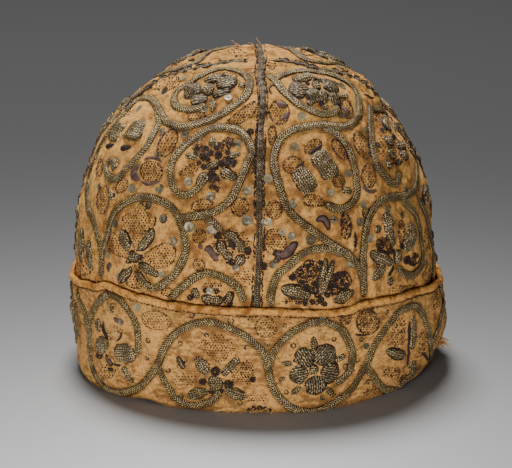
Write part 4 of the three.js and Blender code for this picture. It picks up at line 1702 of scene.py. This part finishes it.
@dataclass
class Puckers:
    """Relief of a cloth: quilting between braids, creases at seams, wrinkles and folds."""

    quilt: float = 1.0
    quilt_reach: float = 5.0
    wrinkle: float = 0.75
    wrinkle_size: float = 9.0
    crumple: float = 0.48
    crumple_size: float = 3.4
    stretch: float = 1.0
    seam_depth: float = 0.9
    seam_reach: float = 1.8
    gather: float = 0.35
    gather_pitch: float = 6.0
    dirt_and_shade_reach: float = 0.9
    speck_reach: float = 1.5

    def apply(self, worked: Worked, seams: bool, edges: bool) -> None:
        """Fills in a cloth's relief, and its mark of dirt and painted shade.

        Args:
            worked: The cloth and what is worked on it.
            seams: Whether seams run up it at its quarters.
            edges: Whether its lower and upper edges stay where they are.
        """
        cloth = worked.cloth
        around, tall = cloth.steps
        flat = cloth.points[:-1].reshape(-1, 3)
        braids = np.concatenate([side for places in worked.tendrils for side in worked.turned(places)])
        away = self.distances(cloth, flat, braids).reshape(around, tall + 1)
        seeds = np.concatenate(worked.turned(worked.seeds))
        speck = self.distances(cloth, flat, seeds).reshape(around, tall + 1)
        scale = np.array([1.0, 1.0, self.stretch])
        wide = self.noise(flat * scale / self.wrinkle_size).reshape(away.shape)
        small = self.noise(flat * scale / self.crumple_size + 40).reshape(away.shape)
        free = 1 - np.exp(-((away / self.quilt_reach) ** 2))
        relief = self.quilt * free + (self.wrinkle * wide + self.crumple * small) * (0.45 + free)
        bearing = np.linspace(0, FULL_TURN, around, endpoint=False)[:, None]
        if seams:
            girth = np.linalg.norm(np.diff(cloth.points, axis=0), axis=2) * around / FULL_TURN
            aside = (bearing + 45) % 90 - 45
            off = np.abs(aside) * girth
            climb = np.arange(tall + 1) / tall * 235
            relief -= self.seam_depth * np.exp(-((off / self.seam_reach) ** 2))
            relief += (
                self.gather
                * np.exp(-((off / 7) ** 2))
                * np.sin(2 * math.pi * (climb + 2 * wide) / self.gather_pitch)
            )
        # Darker near the braids: painted shade along their edges, and dirt; a little more where the
        # crumple noise is high.
        dirt_and_shade_mask = np.exp(-((np.maximum(away - 2, 0) / self.dirt_and_shade_reach) ** 2)) * 0.5 + 0.12 * (small + 1)
        dirt_and_shade_mask += 0.14 * np.exp(-((speck / self.speck_reach) ** 2))
        # On the cuff: darker along its lower fold, and painted shade under the hem's roll along its upper
        # edge.
        if edges:
            share = np.arange(tall + 1) / tall
            relief *= np.clip(share / 0.08, 0, 1) * np.clip((1 - share) / 0.1, 0, 1)
            dirt_and_shade_mask += 0.5 * np.exp(-((share / 0.05) ** 2)) + 0.45 * np.exp(-(((1 - share) / 0.09) ** 2))
        cloth.relief = np.concatenate([relief, relief[:1]])
        cloth.dirt_and_shade = np.clip(np.concatenate([dirt_and_shade_mask, dirt_and_shade_mask[:1]]), 0, 1)

    @staticmethod
    def distances(cloth: Cloth, points: np.ndarray, places: np.ndarray) -> np.ndarray:
        """How far points are from the nearest of some places on a cloth."""
        tree = tree_of(cloth.read(cloth.points, places[:, 0], places[:, 1]))
        return np.array([tree.find(point)[2] for point in points])

    @staticmethod
    def noise(places: np.ndarray) -> np.ndarray:
        """Smooth noise, from -1 to 1, at places."""
        return np.array([noise.noise(Vector(place)) for place in places])


def cloth_mesh(
    name: str, points: np.ndarray, dirt_and_shade: np.ndarray, flat: np.ndarray, shape: tuple[int, int], ring: bool
) -> bpy.types.Mesh:
    """Bends a grid into a cloth.

    Args:
        name: The mesh's name.
        points: Where its corners go, row by row.
        dirt_and_shade: How much each is darkened, by dirt and by painted shade.
        flat: Millimetres across and up the flat cloth, for each corner.
        shape: Its faces across and up.
        ring: Whether its sides meet.

    Returns:
        The mesh.
    """
    bm = bmesh.new()
    bmesh.ops.create_grid(bm, x_segments=shape[0], y_segments=shape[1], size=1.0)
    layer = bm.loops.layers.uv.new("cloth")
    dirt_and_shade_mask = bm.verts.layers.float.new("dirt_and_shade")
    bm.verts.index_update()
    for face in bm.faces:
        for loop in face.loops:
            loop[layer].uv = flat[loop.vert.index]
    placed = (points + CENTRING) * METRES
    for vert, point, mark in zip(bm.verts, placed.tolist(), dirt_and_shade.tolist()):
        vert.co = point
        vert[dirt_and_shade_mask] = mark
    if ring:
        bmesh.ops.remove_doubles(bm, verts=bm.verts, dist=1e-6)
    bmesh.ops.recalc_face_normals(bm, faces=bm.faces)
    centre = sum((f.normal.dot(f.calc_center_median() - Vector((0, 0, 0.05))) for f in bm.faces))
    if centre < 0:
        bmesh.ops.reverse_faces(bm, faces=bm.faces)
    mesh = bpy.data.meshes.new(name)
    bm.to_mesh(mesh)
    bm.free()
    mesh.polygons.foreach_set("use_smooth", [True] * len(mesh.polygons))
    return mesh


def thicken(piece: bpy.types.Object, thickness: float) -> None:
    """Gives a cloth its thickness, inwards from its outer face.

    Args:
        piece: The cloth.
        thickness: Millimetres.
    """
    wall = piece.modifiers.new("thickness", "SOLIDIFY")
    wall.thickness = thickness * METRES
    wall.offset = -1.0


@dataclass
class Gores:
    """The crown's four gores."""

    cloth: Cloth
    across: int = 84
    up: int = 132
    tip: float = 0.998
    width: float = 0.162
    length: float = 0.236
    area: float = 0.0256
    middles = {"front_right": 45, "back_right": 135, "back_left": -135, "front_left": -45}

    def build(self, material: bpy.types.Material) -> list[bpy.types.Object]:
        """Makes the four gores."""
        return [self.gore(name, middle, material) for name, middle in self.middles.items()]

    def gore(self, name: str, middle: float, material: bpy.types.Material) -> bpy.types.Object:
        """Makes one gore.

        Args:
            name: Which gore.
            middle: The bearing of its middle.
            material: Its finish.

        Returns:
            The piece.
        """
        aside, climb = np.meshgrid(
            np.linspace(-45, 45, self.across + 1), np.linspace(0, self.tip, self.up + 1)
        )
        aside, climb = aside.ravel(), climb.ravel()
        points, _ = self.cloth.lay(middle + aside, climb)
        dirt_and_shade = self.cloth.read(self.cloth.dirt_and_shade, middle + aside, climb)
        flat = np.stack([np.radians(aside) * CROWN_RADIUS, climb * self.length / METRES], -1)
        mesh = cloth_mesh(f"linen_gore_{name}", points, dirt_and_shade, flat, (self.across, self.up), False)
        piece = present(f"linen_gore_{name}", mesh, material)
        thicken(piece, CROWN_LINEN * 0.9)
        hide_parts(f"gore_{name}")
        return piece


@dataclass
class Cuff:
    """The turned-up cuff with its hem."""

    cloth: Cloth
    form: CapForm
    around: int = 400
    shares: int = 40
    hem_share: float = 0.988
    hem_half: float = 2.15
    hem_thick: float = 1.55
    length: float = 0.625
    width: float = 0.068

    def build(
        self, material: bpy.types.Material, hem_material: bpy.types.Material, silk: bpy.types.Material
    ) -> tuple[bpy.types.Object, bpy.types.Object]:
        """Makes the cuff.

        Args:
            material: Its finish.
            hem_material: Its hem's finish.
            silk: Its stitches' finish.

        Returns:
            The band and its hem.
        """
        bearing = np.linspace(-180, 180, self.around + 1)
        inside = -CROWN_LINEN - CLEARANCE - CUFF_LINEN
        rows = [self.form.rim(bearing, inside, h) for h in (INTURN_HEIGHT, 6.0, 3.0, 1.0)]
        rows += [self.form.rim(bearing, inside + 0.25, 0.3), self.form.rim(bearing, inside + 0.8, 0.02)]
        rows += [self.form.rim(bearing, -1.0, 0.0)]
        # The inturned rows inside the fold get a fixed middling darkening.
        dirt_and_shade = [np.full_like(bearing, 0.5)] * len(rows)
        shares = np.concatenate([[0.0, 0.006, 0.015, 0.03], np.linspace(0.05, 0.985, self.shares)])
        for share in shares:
            level = np.full_like(bearing, share)
            rows.append(self.cloth.lay(bearing, level)[0])
            dirt_and_shade.append(self.cloth.read(self.cloth.dirt_and_shade, bearing, level))
        table = np.stack(rows)
        up = np.linalg.norm(np.diff(table, axis=0), axis=2).mean(1)
        above = np.concatenate([[0], np.cumsum(up)])
        flat = np.stack(np.meshgrid(np.radians(bearing) * CROWN_RADIUS, above), -1).reshape(-1, 2)
        mesh = cloth_mesh(
            "linen_cuff",
            table.reshape(-1, 3),
            np.stack(dirt_and_shade).ravel(),
            flat,
            (self.around, len(rows) - 1),
            True,
        )
        band = present("linen_cuff", mesh, material)
        thicken(band, CUFF_LINEN * 0.85)
        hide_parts("cuff")
        hem = self.hem(hem_material)
        stitches = Bundle("hem_stitches")
        around = np.linspace(-180, 180, 2 * self.around + 1)
        laid = self.cloth.lay(around, np.full_like(around, self.hem_share - 0.042), 0.1)
        line = Spine.even(*laid, 1, 1)
        stitch_rows(stitches, line, random.Random(8), (0.0,), 1.25, (0.6, 1.15), 0.15)
        stitches.finish("dark_silk", silk)
        return band, hem

    def hem(self, material: bpy.types.Material) -> bpy.types.Object:
        """The rolled hem along the cuff's upper edge.

        Args:
            material: Its finish.

        Returns:
            The piece.
        """
        bundle = Bundle("linen_cuff_hem")
        bearing = np.linspace(-180, 180, 2 * self.around + 1)
        share = np.full_like(bearing, self.hem_share)
        points, normals = self.cloth.lay(bearing, share, -0.4)
        round_cap = np.stack([np.cos(np.radians(bearing)), np.sin(np.radians(bearing))], -1)
        wrinkle = Puckers.noise(np.column_stack([round_cap * 26, np.zeros_like(bearing)]))
        puff = Puckers.noise(np.column_stack([round_cap * 9, np.full_like(bearing, 7.0)]))
        points = points + normals * (0.35 * wrinkle)[:, None]
        points[:, 2] += 0.35 * puff
        spine = Spine(
            points,
            normals,
            self.hem_half * (1 + 0.16 * puff + 0.16 * wrinkle),
            self.hem_thick * (1 + 0.4 * wrinkle + 0.15 * puff),
        )
        bundle.strip(spine, Section.ROUND)
        return bundle.finish("cuff_linen", material)


@dataclass
class SeamBraids:
    """Braids over the crown's seams, with a row of dark stitches down each side."""

    cloth: Cloth
    form: CapForm
    half_width: float = 2.05
    height: float = 1.3
    step: float = 0.7
    tuck: float = 6.0
    side_stop: float = 0.968
    stitch_aside: float = 2.6
    stitch_pitch: float = 1.6

    def spine(self, bearing: float, top: float) -> Spine:
        """Spine up a seam.

        Args:
            bearing: The seam's bearing.
            top: Share of the climb where it ends.

        Returns:
            The spine.
        """
        there = np.array([bearing], float)
        start = self.form.climb_at(there, self.form.cuff_top(there) - self.tuck)[0]
        climb = np.linspace(start, top, int(230 * (top - start) / self.step))
        laid = self.cloth.lay(np.full_like(climb, bearing), climb)
        return Spine.even(*laid, self.half_width, self.height)

    def over(self) -> Spine:
        """Spine up the front seam, over the apex and down the back seam.

        Returns:
            The spine.
        """
        front, back = self.spine(0.0, 0.998), self.spine(180.0, 0.998)
        parts = [
            np.concatenate([getattr(front, name), getattr(back, name)[::-1]])
            for name in ("points", "normals", "half_width", "height")
        ]
        points = parts[0]
        middle = len(front.points)
        for _ in range(6):
            inner = slice(middle - 5, middle + 5)
            points[inner] = (points[middle - 6 : middle + 4] + points[middle - 4 : middle + 6]) / 2
        return Spine(points, *parts[1:])

    def build(self, braid: bpy.types.Material, silk: bpy.types.Material) -> None:
        """Makes the braids and their stitches.

        Args:
            braid: The braids' finish.
            silk: The stitches' finish.
        """
        spines = {
            "front_to_back": self.over(),
            "right": self.spine(90.0, self.side_stop),
            "left": self.spine(-90.0, self.side_stop),
        }
        stitches = Bundle("seam_stitches")
        picker = random.Random(5)
        for name, spine in spines.items():
            bundle = Bundle(f"plait_seam_{name}")
            bundle.strip(spine, Section.TWIN)
            piece = bundle.finish("seam_braid", braid)
            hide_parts(f"seam_braid_{name}")
            rows = (-self.stitch_aside, self.stitch_aside)
            stitch_rows(stitches, spine, picker, rows, self.stitch_pitch, (1.0, 2.0), 0.95)
        stitches.finish("dark_silk", silk)


@dataclass
class Embroidery:
    """Tendrils, padded shapes, seed stitches, spangles and knots on one cloth."""

    worked: Worked
    name: str
    tendril_half: float = 2.3
    tendril_height: float = 1.4
    tendril_step: float = 0.8
    pad_height: float = 1.5
    fullness: float = 1.14
    edge_width: float = 0.75
    edge_height: float = 0.34
    end_taper: float = 1.6
    end_share: float = 0.15
    wobble_size: float = 7.0
    pad_step: float = 0.8
    flat_height: float = 0.55
    narrowest: float = 0.03
    seed_lift: float = 0.12
    spangle_lift: float = 0.55
    spangle_lean: float = 0.12
    knot_lift: float = 0.2
    knot_loops: int = 3
    knot_half: float = 0.32
    knot_height: float = 0.3
    seed: int = 11

    def build(self, materials: dict[Thread, bpy.types.Material], plait: bpy.types.Material,
              spangle: bpy.types.Material) -> None:
        """Makes the embroidery.

        Args:
            materials: Finish of each thread.
            plait: The tendrils' finish.
            spangle: The spangles' finish.
        """
        self.tendrils().finish("metal_thread", plait)
        slots = {
            Thread.METAL: "metal_thread",
            Thread.TARNISHED: "metal_thread",
            Thread.BROWN: "brown_silk",
            Thread.DARK: "dark_silk",
            Thread.LINEN: "linen",
        }
        bundles = self.pads()
        for thread, bundle in bundles.items():
            if bundle.count:
                bundle.finish(slots[thread], materials[thread])
        self.seeds().finish("dark_silk", materials[Thread.DARK])
        self.spangles().finish("spangle", spangle, smooth=False)
        if self.worked.layout.knots:
            self.knots().finish("metal_thread", materials[Thread.METAL])

    def tendrils(self) -> Bundle:
        """The coiling braids.

        Returns:
            Their piece.
        """
        bundle = Bundle(f"{self.name}_tendrils")
        for places in self.worked.tendrils:
            for side in self.worked.turned(places):
                spine = self.worked.spine(side, self.tendril_step, self.tendril_half, self.tendril_height)
                along = spine.along
                ends = np.minimum(along, along[-1] - along)
                close = np.clip(ends / self.end_taper, self.end_share, 1) ** 0.5
                wobble = Puckers.noise(spine.points / self.wobble_size)
                spine.half_width = spine.half_width * close * (1 + 0.14 * wobble)
                spine.height = spine.height * close * (1 + 0.2 * wobble)
                bundle.strip(spine, Section.TWIN)
        return bundle

    def pads(self) -> dict[Thread, Bundle]:
        """The padded shapes, gathered by thread.

        Returns:
            A piece for each thread.
        """
        bundles = {thread: Bundle(f"{self.name}_{thread.value}_work") for thread in Thread}
        for pad, places in self.worked.pads:
            flat = pad.thread in (Thread.BROWN, Thread.DARK, Thread.LINEN)
            fullness = 1.0 if flat else self.fullness
            half = pad.width / PIXELS_PER_MM / 2 * fullness / self.worked.shown_width(places)
            for side in self.worked.turned(places):
                height = self.flat_height if flat else self.pad_height * min(1.0, 0.45 + half / 5)
                spine = self.worked.spine(side, self.pad_step, half, height)
                t = np.linspace(0.0, 1.0, len(spine.points))
                share = np.maximum(pad.form.share(t), self.narrowest)
                rough, size = (0.4, 0.9) if pad.thread is Thread.DARK else (0.12, 2.5)
                ragged = 1 + rough * Puckers.noise(spine.points / size)
                spine.half_width = half * share * ragged
                spine.height = height * share**0.7
                bundles[pad.thread].strip(spine)
                if pad.edged:
                    wide = spine.half_width + self.edge_width
                    tall = np.full(len(t), self.edge_height)
                    bundles[Thread.DARK].strip(Spine(spine.points, spine.normals, wide, tall))
        return bundles

    def seeds(self) -> Bundle:
        """The dark seed stitches.

        Returns:
            Their piece.
        """
        bundle = Bundle(f"{self.name}_seeds")
        picker = random.Random(self.seed)
        for side in self.worked.turned(self.worked.seeds):
            self.set_stitches(bundle, side, self.worked.seed_sizes, picker)
        return bundle

    def set_stitches(
        self, bundle: Bundle, places: np.ndarray, sizes: Sequence[float], picker: random.Random
    ) -> None:
        """Adds one seed stitch at each place.

        Args:
            bundle: The piece to add them to.
            places: Bearings and shares of the way up.
            sizes: The size of each.
            picker: Source of their turns.
        """
        points, normals = self.worked.cloth.lay(places[:, 0], places[:, 1], self.seed_lift)
        axes = []
        for normal, size in zip(normals, sizes):
            turn = picker.uniform(0, math.pi)
            level, rise = level_and_rise(normal)
            across = level * math.cos(turn) + rise * math.sin(turn)
            axes.append(np.stack([across * size, np.cross(normal, across) * size, normal]))
        bundle.stamp(seed_template(), points, np.array(axes))

    def spangles(self) -> Bundle:
        """The spangles.

        Returns:
            Their piece.
        """
        bundle = Bundle(f"{self.name}_spangles")
        picker = random.Random(self.seed + 1)
        table = np.array(self.worked.layout.spangles)
        places = self.worked.chart(table[:, :2])
        template = spangle_template()
        for side in self.worked.turned(places):
            points, normals = self.worked.cloth.lay(side[:, 0], side[:, 1], self.spangle_lift)
            axes = []
            for normal, radius in zip(normals, table[:, 2] / PIXELS_PER_MM):
                aside = np.array([picker.uniform(-1, 1) for _ in range(3)])
                lean = unit(normal + self.spangle_lean * aside)
                axes.append(np.stack([*level_and_rise(lean), lean]) * radius)
            bundle.stamp(template, points, np.array(axes))
        return bundle

    def knots(self) -> Bundle:
        """Threads left where spangles were.

        Returns:
            Their piece.
        """
        bundle = Bundle(f"{self.name}_knots")
        picker = random.Random(self.seed + 2)
        places = self.worked.chart(np.array(self.worked.layout.knots))
        for side in self.worked.turned(places):
            points, normals = self.worked.cloth.lay(side[:, 0], side[:, 1], self.knot_lift)
            for point, normal in zip(points, normals):
                level, rise = level_and_rise(normal)
                for _ in range(self.knot_loops):
                    start, sweep = picker.uniform(0, math.tau), picker.uniform(2.2, 4.5)
                    angle = np.linspace(start, start + sweep, 9)
                    radius = picker.uniform(0.7, 1.5)
                    shift = picker.uniform(-0.6, 0.6)
                    loop = (
                        point
                        + np.outer(np.cos(angle) * radius + shift, level)
                        + np.outer(np.sin(angle) * radius, rise)
                    )
                    outwards = np.tile(normal, (len(angle), 1))
                    spine = Spine.even(loop, outwards, self.knot_half, self.knot_height)
                    bundle.strip(spine, Section.ROUND)
        return bundle


@dataclass(frozen=True)
class Fray:
    """Loose threads round a place on a cloth."""

    places: Route
    threads: int
    length: float
    thickness: float
    spread: float
    pixels: bool = True


@dataclass
class Wear:
    """Frayed linen threads."""

    view: PhotoView
    seed: int = 23
    lowest: float = 0.4
    steps: int = 12
    root: float = 0.5
    wildness: float = 0.8
    shortest: float = 0.4
    curl: float = 0.25
    wander: float = 0.14
    droop: float = 0.05
    thin_end: float = 0.5

    def build(self, frays: Sequence[tuple[Cloth, Fray]], material: bpy.types.Material) -> None:
        """Makes the loose threads.

        Args:
            frays: Where they are, on which cloth.
            material: Their finish.
        """
        bundle = Bundle("loose_threads")
        picker = random.Random(self.seed)
        for cloth, fray in frays:
            places = np.array(fray.places, float)
            if fray.pixels:
                places = self.view.places(cloth, places)
            for _ in range(fray.threads):
                place = places[picker.randrange(len(places))]
                place = place + np.array([picker.uniform(-1, 1) * fray.spread, 0.0])
                point, normal = cloth.lay(place[:1], place[1:], 0.1)
                self.thread(bundle, point[0], normal[0], fray, picker)
        bundle.finish("linen", material)

    def thread(
        self, bundle: Bundle, start: np.ndarray, normal: np.ndarray, fray: Fray, picker: random.Random
    ) -> None:
        """Adds one loose thread.

        Args:
            bundle: The piece to add it to.
            start: Where it leaves the cloth.
            normal: The cloth's outward direction there.
            fray: The threads' sizes.
            picker: Source of its bends.
        """
        way = unit(normal * 0.5 + np.array([picker.gauss(0, self.wildness) for _ in range(3)]))
        point = start - normal * self.root
        points = [point]
        length = fray.length * picker.uniform(self.shortest, 1.0)
        bend = np.array([picker.gauss(0, self.curl) for _ in range(3)])
        for _ in range(self.steps):
            way = way + bend + np.array([picker.gauss(0, self.wander) for _ in range(3)])
            way[2] -= self.droop
            way = unit(way)
            point = point + way * length / self.steps
            point[2] = max(point[2], self.lowest)
            points.append(point)
        line = np.array(points)
        count = len(line)
        taper = np.linspace(1.0, self.thin_end, count) * fray.thickness
        spine = Spine(line, np.tile(normal, (count, 1)), taper, taper)
        bundle.strip(spine, Section.ROUND)


@dataclass(frozen=True)
class Studio:
    """Floor, lights, air and camera."""

    # The floor's painted pool of light: its bright grey, far grey, reach, falloff and centre.
    painted_pool_grey: float = 0.93
    far_grey: float = 0.063
    fade: float = 0.85
    falloff: float = 3.2
    painted_light_pool: tuple[float, float, float] = (-0.03, -0.27, 0.0)
    floor_reach: float = 6.0
    clip_end: float = 50.0
    aim: tuple[float, float, float] = (0.0, 0.0, 0.08)
    sky_colour: Colour = (0.9, 0.95, 1.0, 1.0)
    sky_strength: float = 0.045
    key = ((-0.5, -1.75, 0.16), 0.4, 23.5)
    fill = ((1.4, -1.4, 0.16), 0.4, 7.0)
    top = ((-0.12, 0.5, 1.35), 0.5, 31.0)

    def floor(self) -> None:
        """Makes the pale floor, with a pool of light painted on it that darkens away from its centre."""
        bm = bmesh.new()
        bmesh.ops.create_grid(bm, x_segments=8, y_segments=8, size=self.floor_reach)
        mesh = bpy.data.meshes.new("floor")
        bm.to_mesh(mesh)
        bm.free()
        floor = add_object("floor", mesh)
        paint = Paint("floor", {"Roughness": 0.85, "Specular IOR Level": 0.2})
        away = Wire(paint, paint.add("ShaderNodeVectorMath", {"operation": "DISTANCE"},
                                     {0: paint.place(), 1: self.painted_light_pool}).outputs["Value"])
        near = (self.painted_pool_grey,) * 3 + (1.0,)
        far = (self.far_grey,) * 3 + (1.0,)
        # Painted pool of light: bright grey at its centre, fading to the far grey.
        close = paint.math("MAXIMUM", 1 - away * (1 / self.fade), 0.0)
        colour = paint.blend(paint.math("POWER", close, self.falloff), far, near)
        mesh.materials.append(paint.done(colour, paint.mottle(1.5), 0.02))

    def light(self, name: str, place: Sequence[float], size: float, power: float) -> None:
        """Adds a soft lamp that faces the cap.

        Args:
            name: Its name.
            place: Where it is, in metres.
            size: Its width.
            power: Its watts.
        """
        lamp = bpy.data.lights.new(name, "AREA")
        lamp.shape = "DISK"
        lamp.size = size
        lamp.energy = power
        holder = add_object(name, lamp)
        holder.location = place
        aim = Vector(self.aim) - Vector(place)
        holder.rotation_euler = aim.to_track_quat("-Z", "Y").to_euler()

    def air(self) -> None:
        """Sets the soft light from all round."""
        world = bpy.data.worlds.new("studio")
        bpy.context.scene.world = world
        world.use_nodes = True
        sky = world.node_tree.nodes["Background"]
        sky.inputs["Color"].default_value = self.sky_colour
        sky.inputs["Strength"].default_value = self.sky_strength

    def camera(self) -> None:
        """Places the photograph's camera."""
        lens = bpy.data.cameras.new("camera")
        lens.sensor_width = SENSOR
        lens.lens = PIXELS_PER_MM * CAMERA_AWAY / IMAGE_WIDE * SENSOR
        lens.clip_end = self.clip_end
        holder = add_object("camera", lens)
        holder.location = Vector((AIM + CENTRING + TOWARDS * CAMERA_AWAY) * METRES)
        holder.rotation_euler = Vector(-TOWARDS).to_track_quat("-Z", "Y").to_euler()
        bpy.context.scene.camera = holder

    def build(self) -> None:
        """Makes the studio."""
        self.camera()
        self.floor()
        self.air()
        self.light("key", *self.key)
        self.light("fill", *self.fill)
        self.light("top", *self.top)


def make_cloths(form: CapForm) -> tuple[Cloth, Cloth]:
    """Tables of the crown's and the cuff's surfaces.

    Args:
        form: The cap's shape.

    Returns:
        The crown and the cuff.
    """
    around, climb_steps, share_steps = 720, 240, 60
    bearing = np.linspace(0, FULL_TURN, around + 1)[:, None]
    climb = np.linspace(0, 1, climb_steps + 1)[None, :]
    crown = form.crown(bearing + 0 * climb, climb + 0 * bearing)
    share = np.linspace(0, 1, share_steps + 1)[None, :]
    cuff = form.cuff(bearing + 0 * share, share + 0 * bearing)
    return Cloth("crown", crown), Cloth("cuff", cuff)


def main() -> None:
    """Builds the cap and its studio."""
    form, view = CapForm(), PhotoView()
    crown, cuff = make_cloths(form)
    crown_work = Worked(crown, CROWN_FRONT, view)
    cuff_work = Worked(cuff, CUFF_FRONT, view, seed=31)
    Puckers().apply(crown_work, True, False)
    Puckers(quilt=0.7, wrinkle=0.7, wrinkle_size=14, stretch=2.4).apply(cuff_work, False, True)
    threads = {
        Thread.METAL: PADDING.material(),
        Thread.TARNISHED: TARNISHED.material(),
        Thread.BROWN: BROWN_SILK.material(),
        Thread.DARK: DARK_SILK.material(),
        Thread.LINEN: LOOSE_LINEN.material(),
    }
    plait, spangle = PLAIT.material(), SPANGLE.material()
    Gores(crown).build(LINEN.material())
    Cuff(cuff, form).build(CUFF_CLOTH.material(), HEM_CLOTH.material(), threads[Thread.DARK])
    SeamBraids(crown, form).build(SEAM.material(), threads[Thread.DARK])
    Embroidery(crown_work, "crown").build(threads, plait, spangle)
    Embroidery(cuff_work, "cuff", tendril_half=2.15, seed=31).build(threads, plait, spangle)
    frays = [
        (crown, Fray(((190, 0.9), (178, 0.93), (204, 0.93)), 26, 9, 0.22, 9, False)),
        (cuff, Fray(((223, 408), (235, 410), (248, 410), (258, 407), (272, 409)), 60, 5, 0.26, 3)),
        (crown, Fray(((205, 303), (260, 300), (300, 300)), 6, 8, 0.14, 4)),
        (cuff, Fray(((440, 338), (439, 343)), 34, 8, 0.42, 1.5)),
    ]
    Wear(view).build(frays, threads[Thread.LINEN])
    Studio().build()


if __name__ == "__main__":
    main()
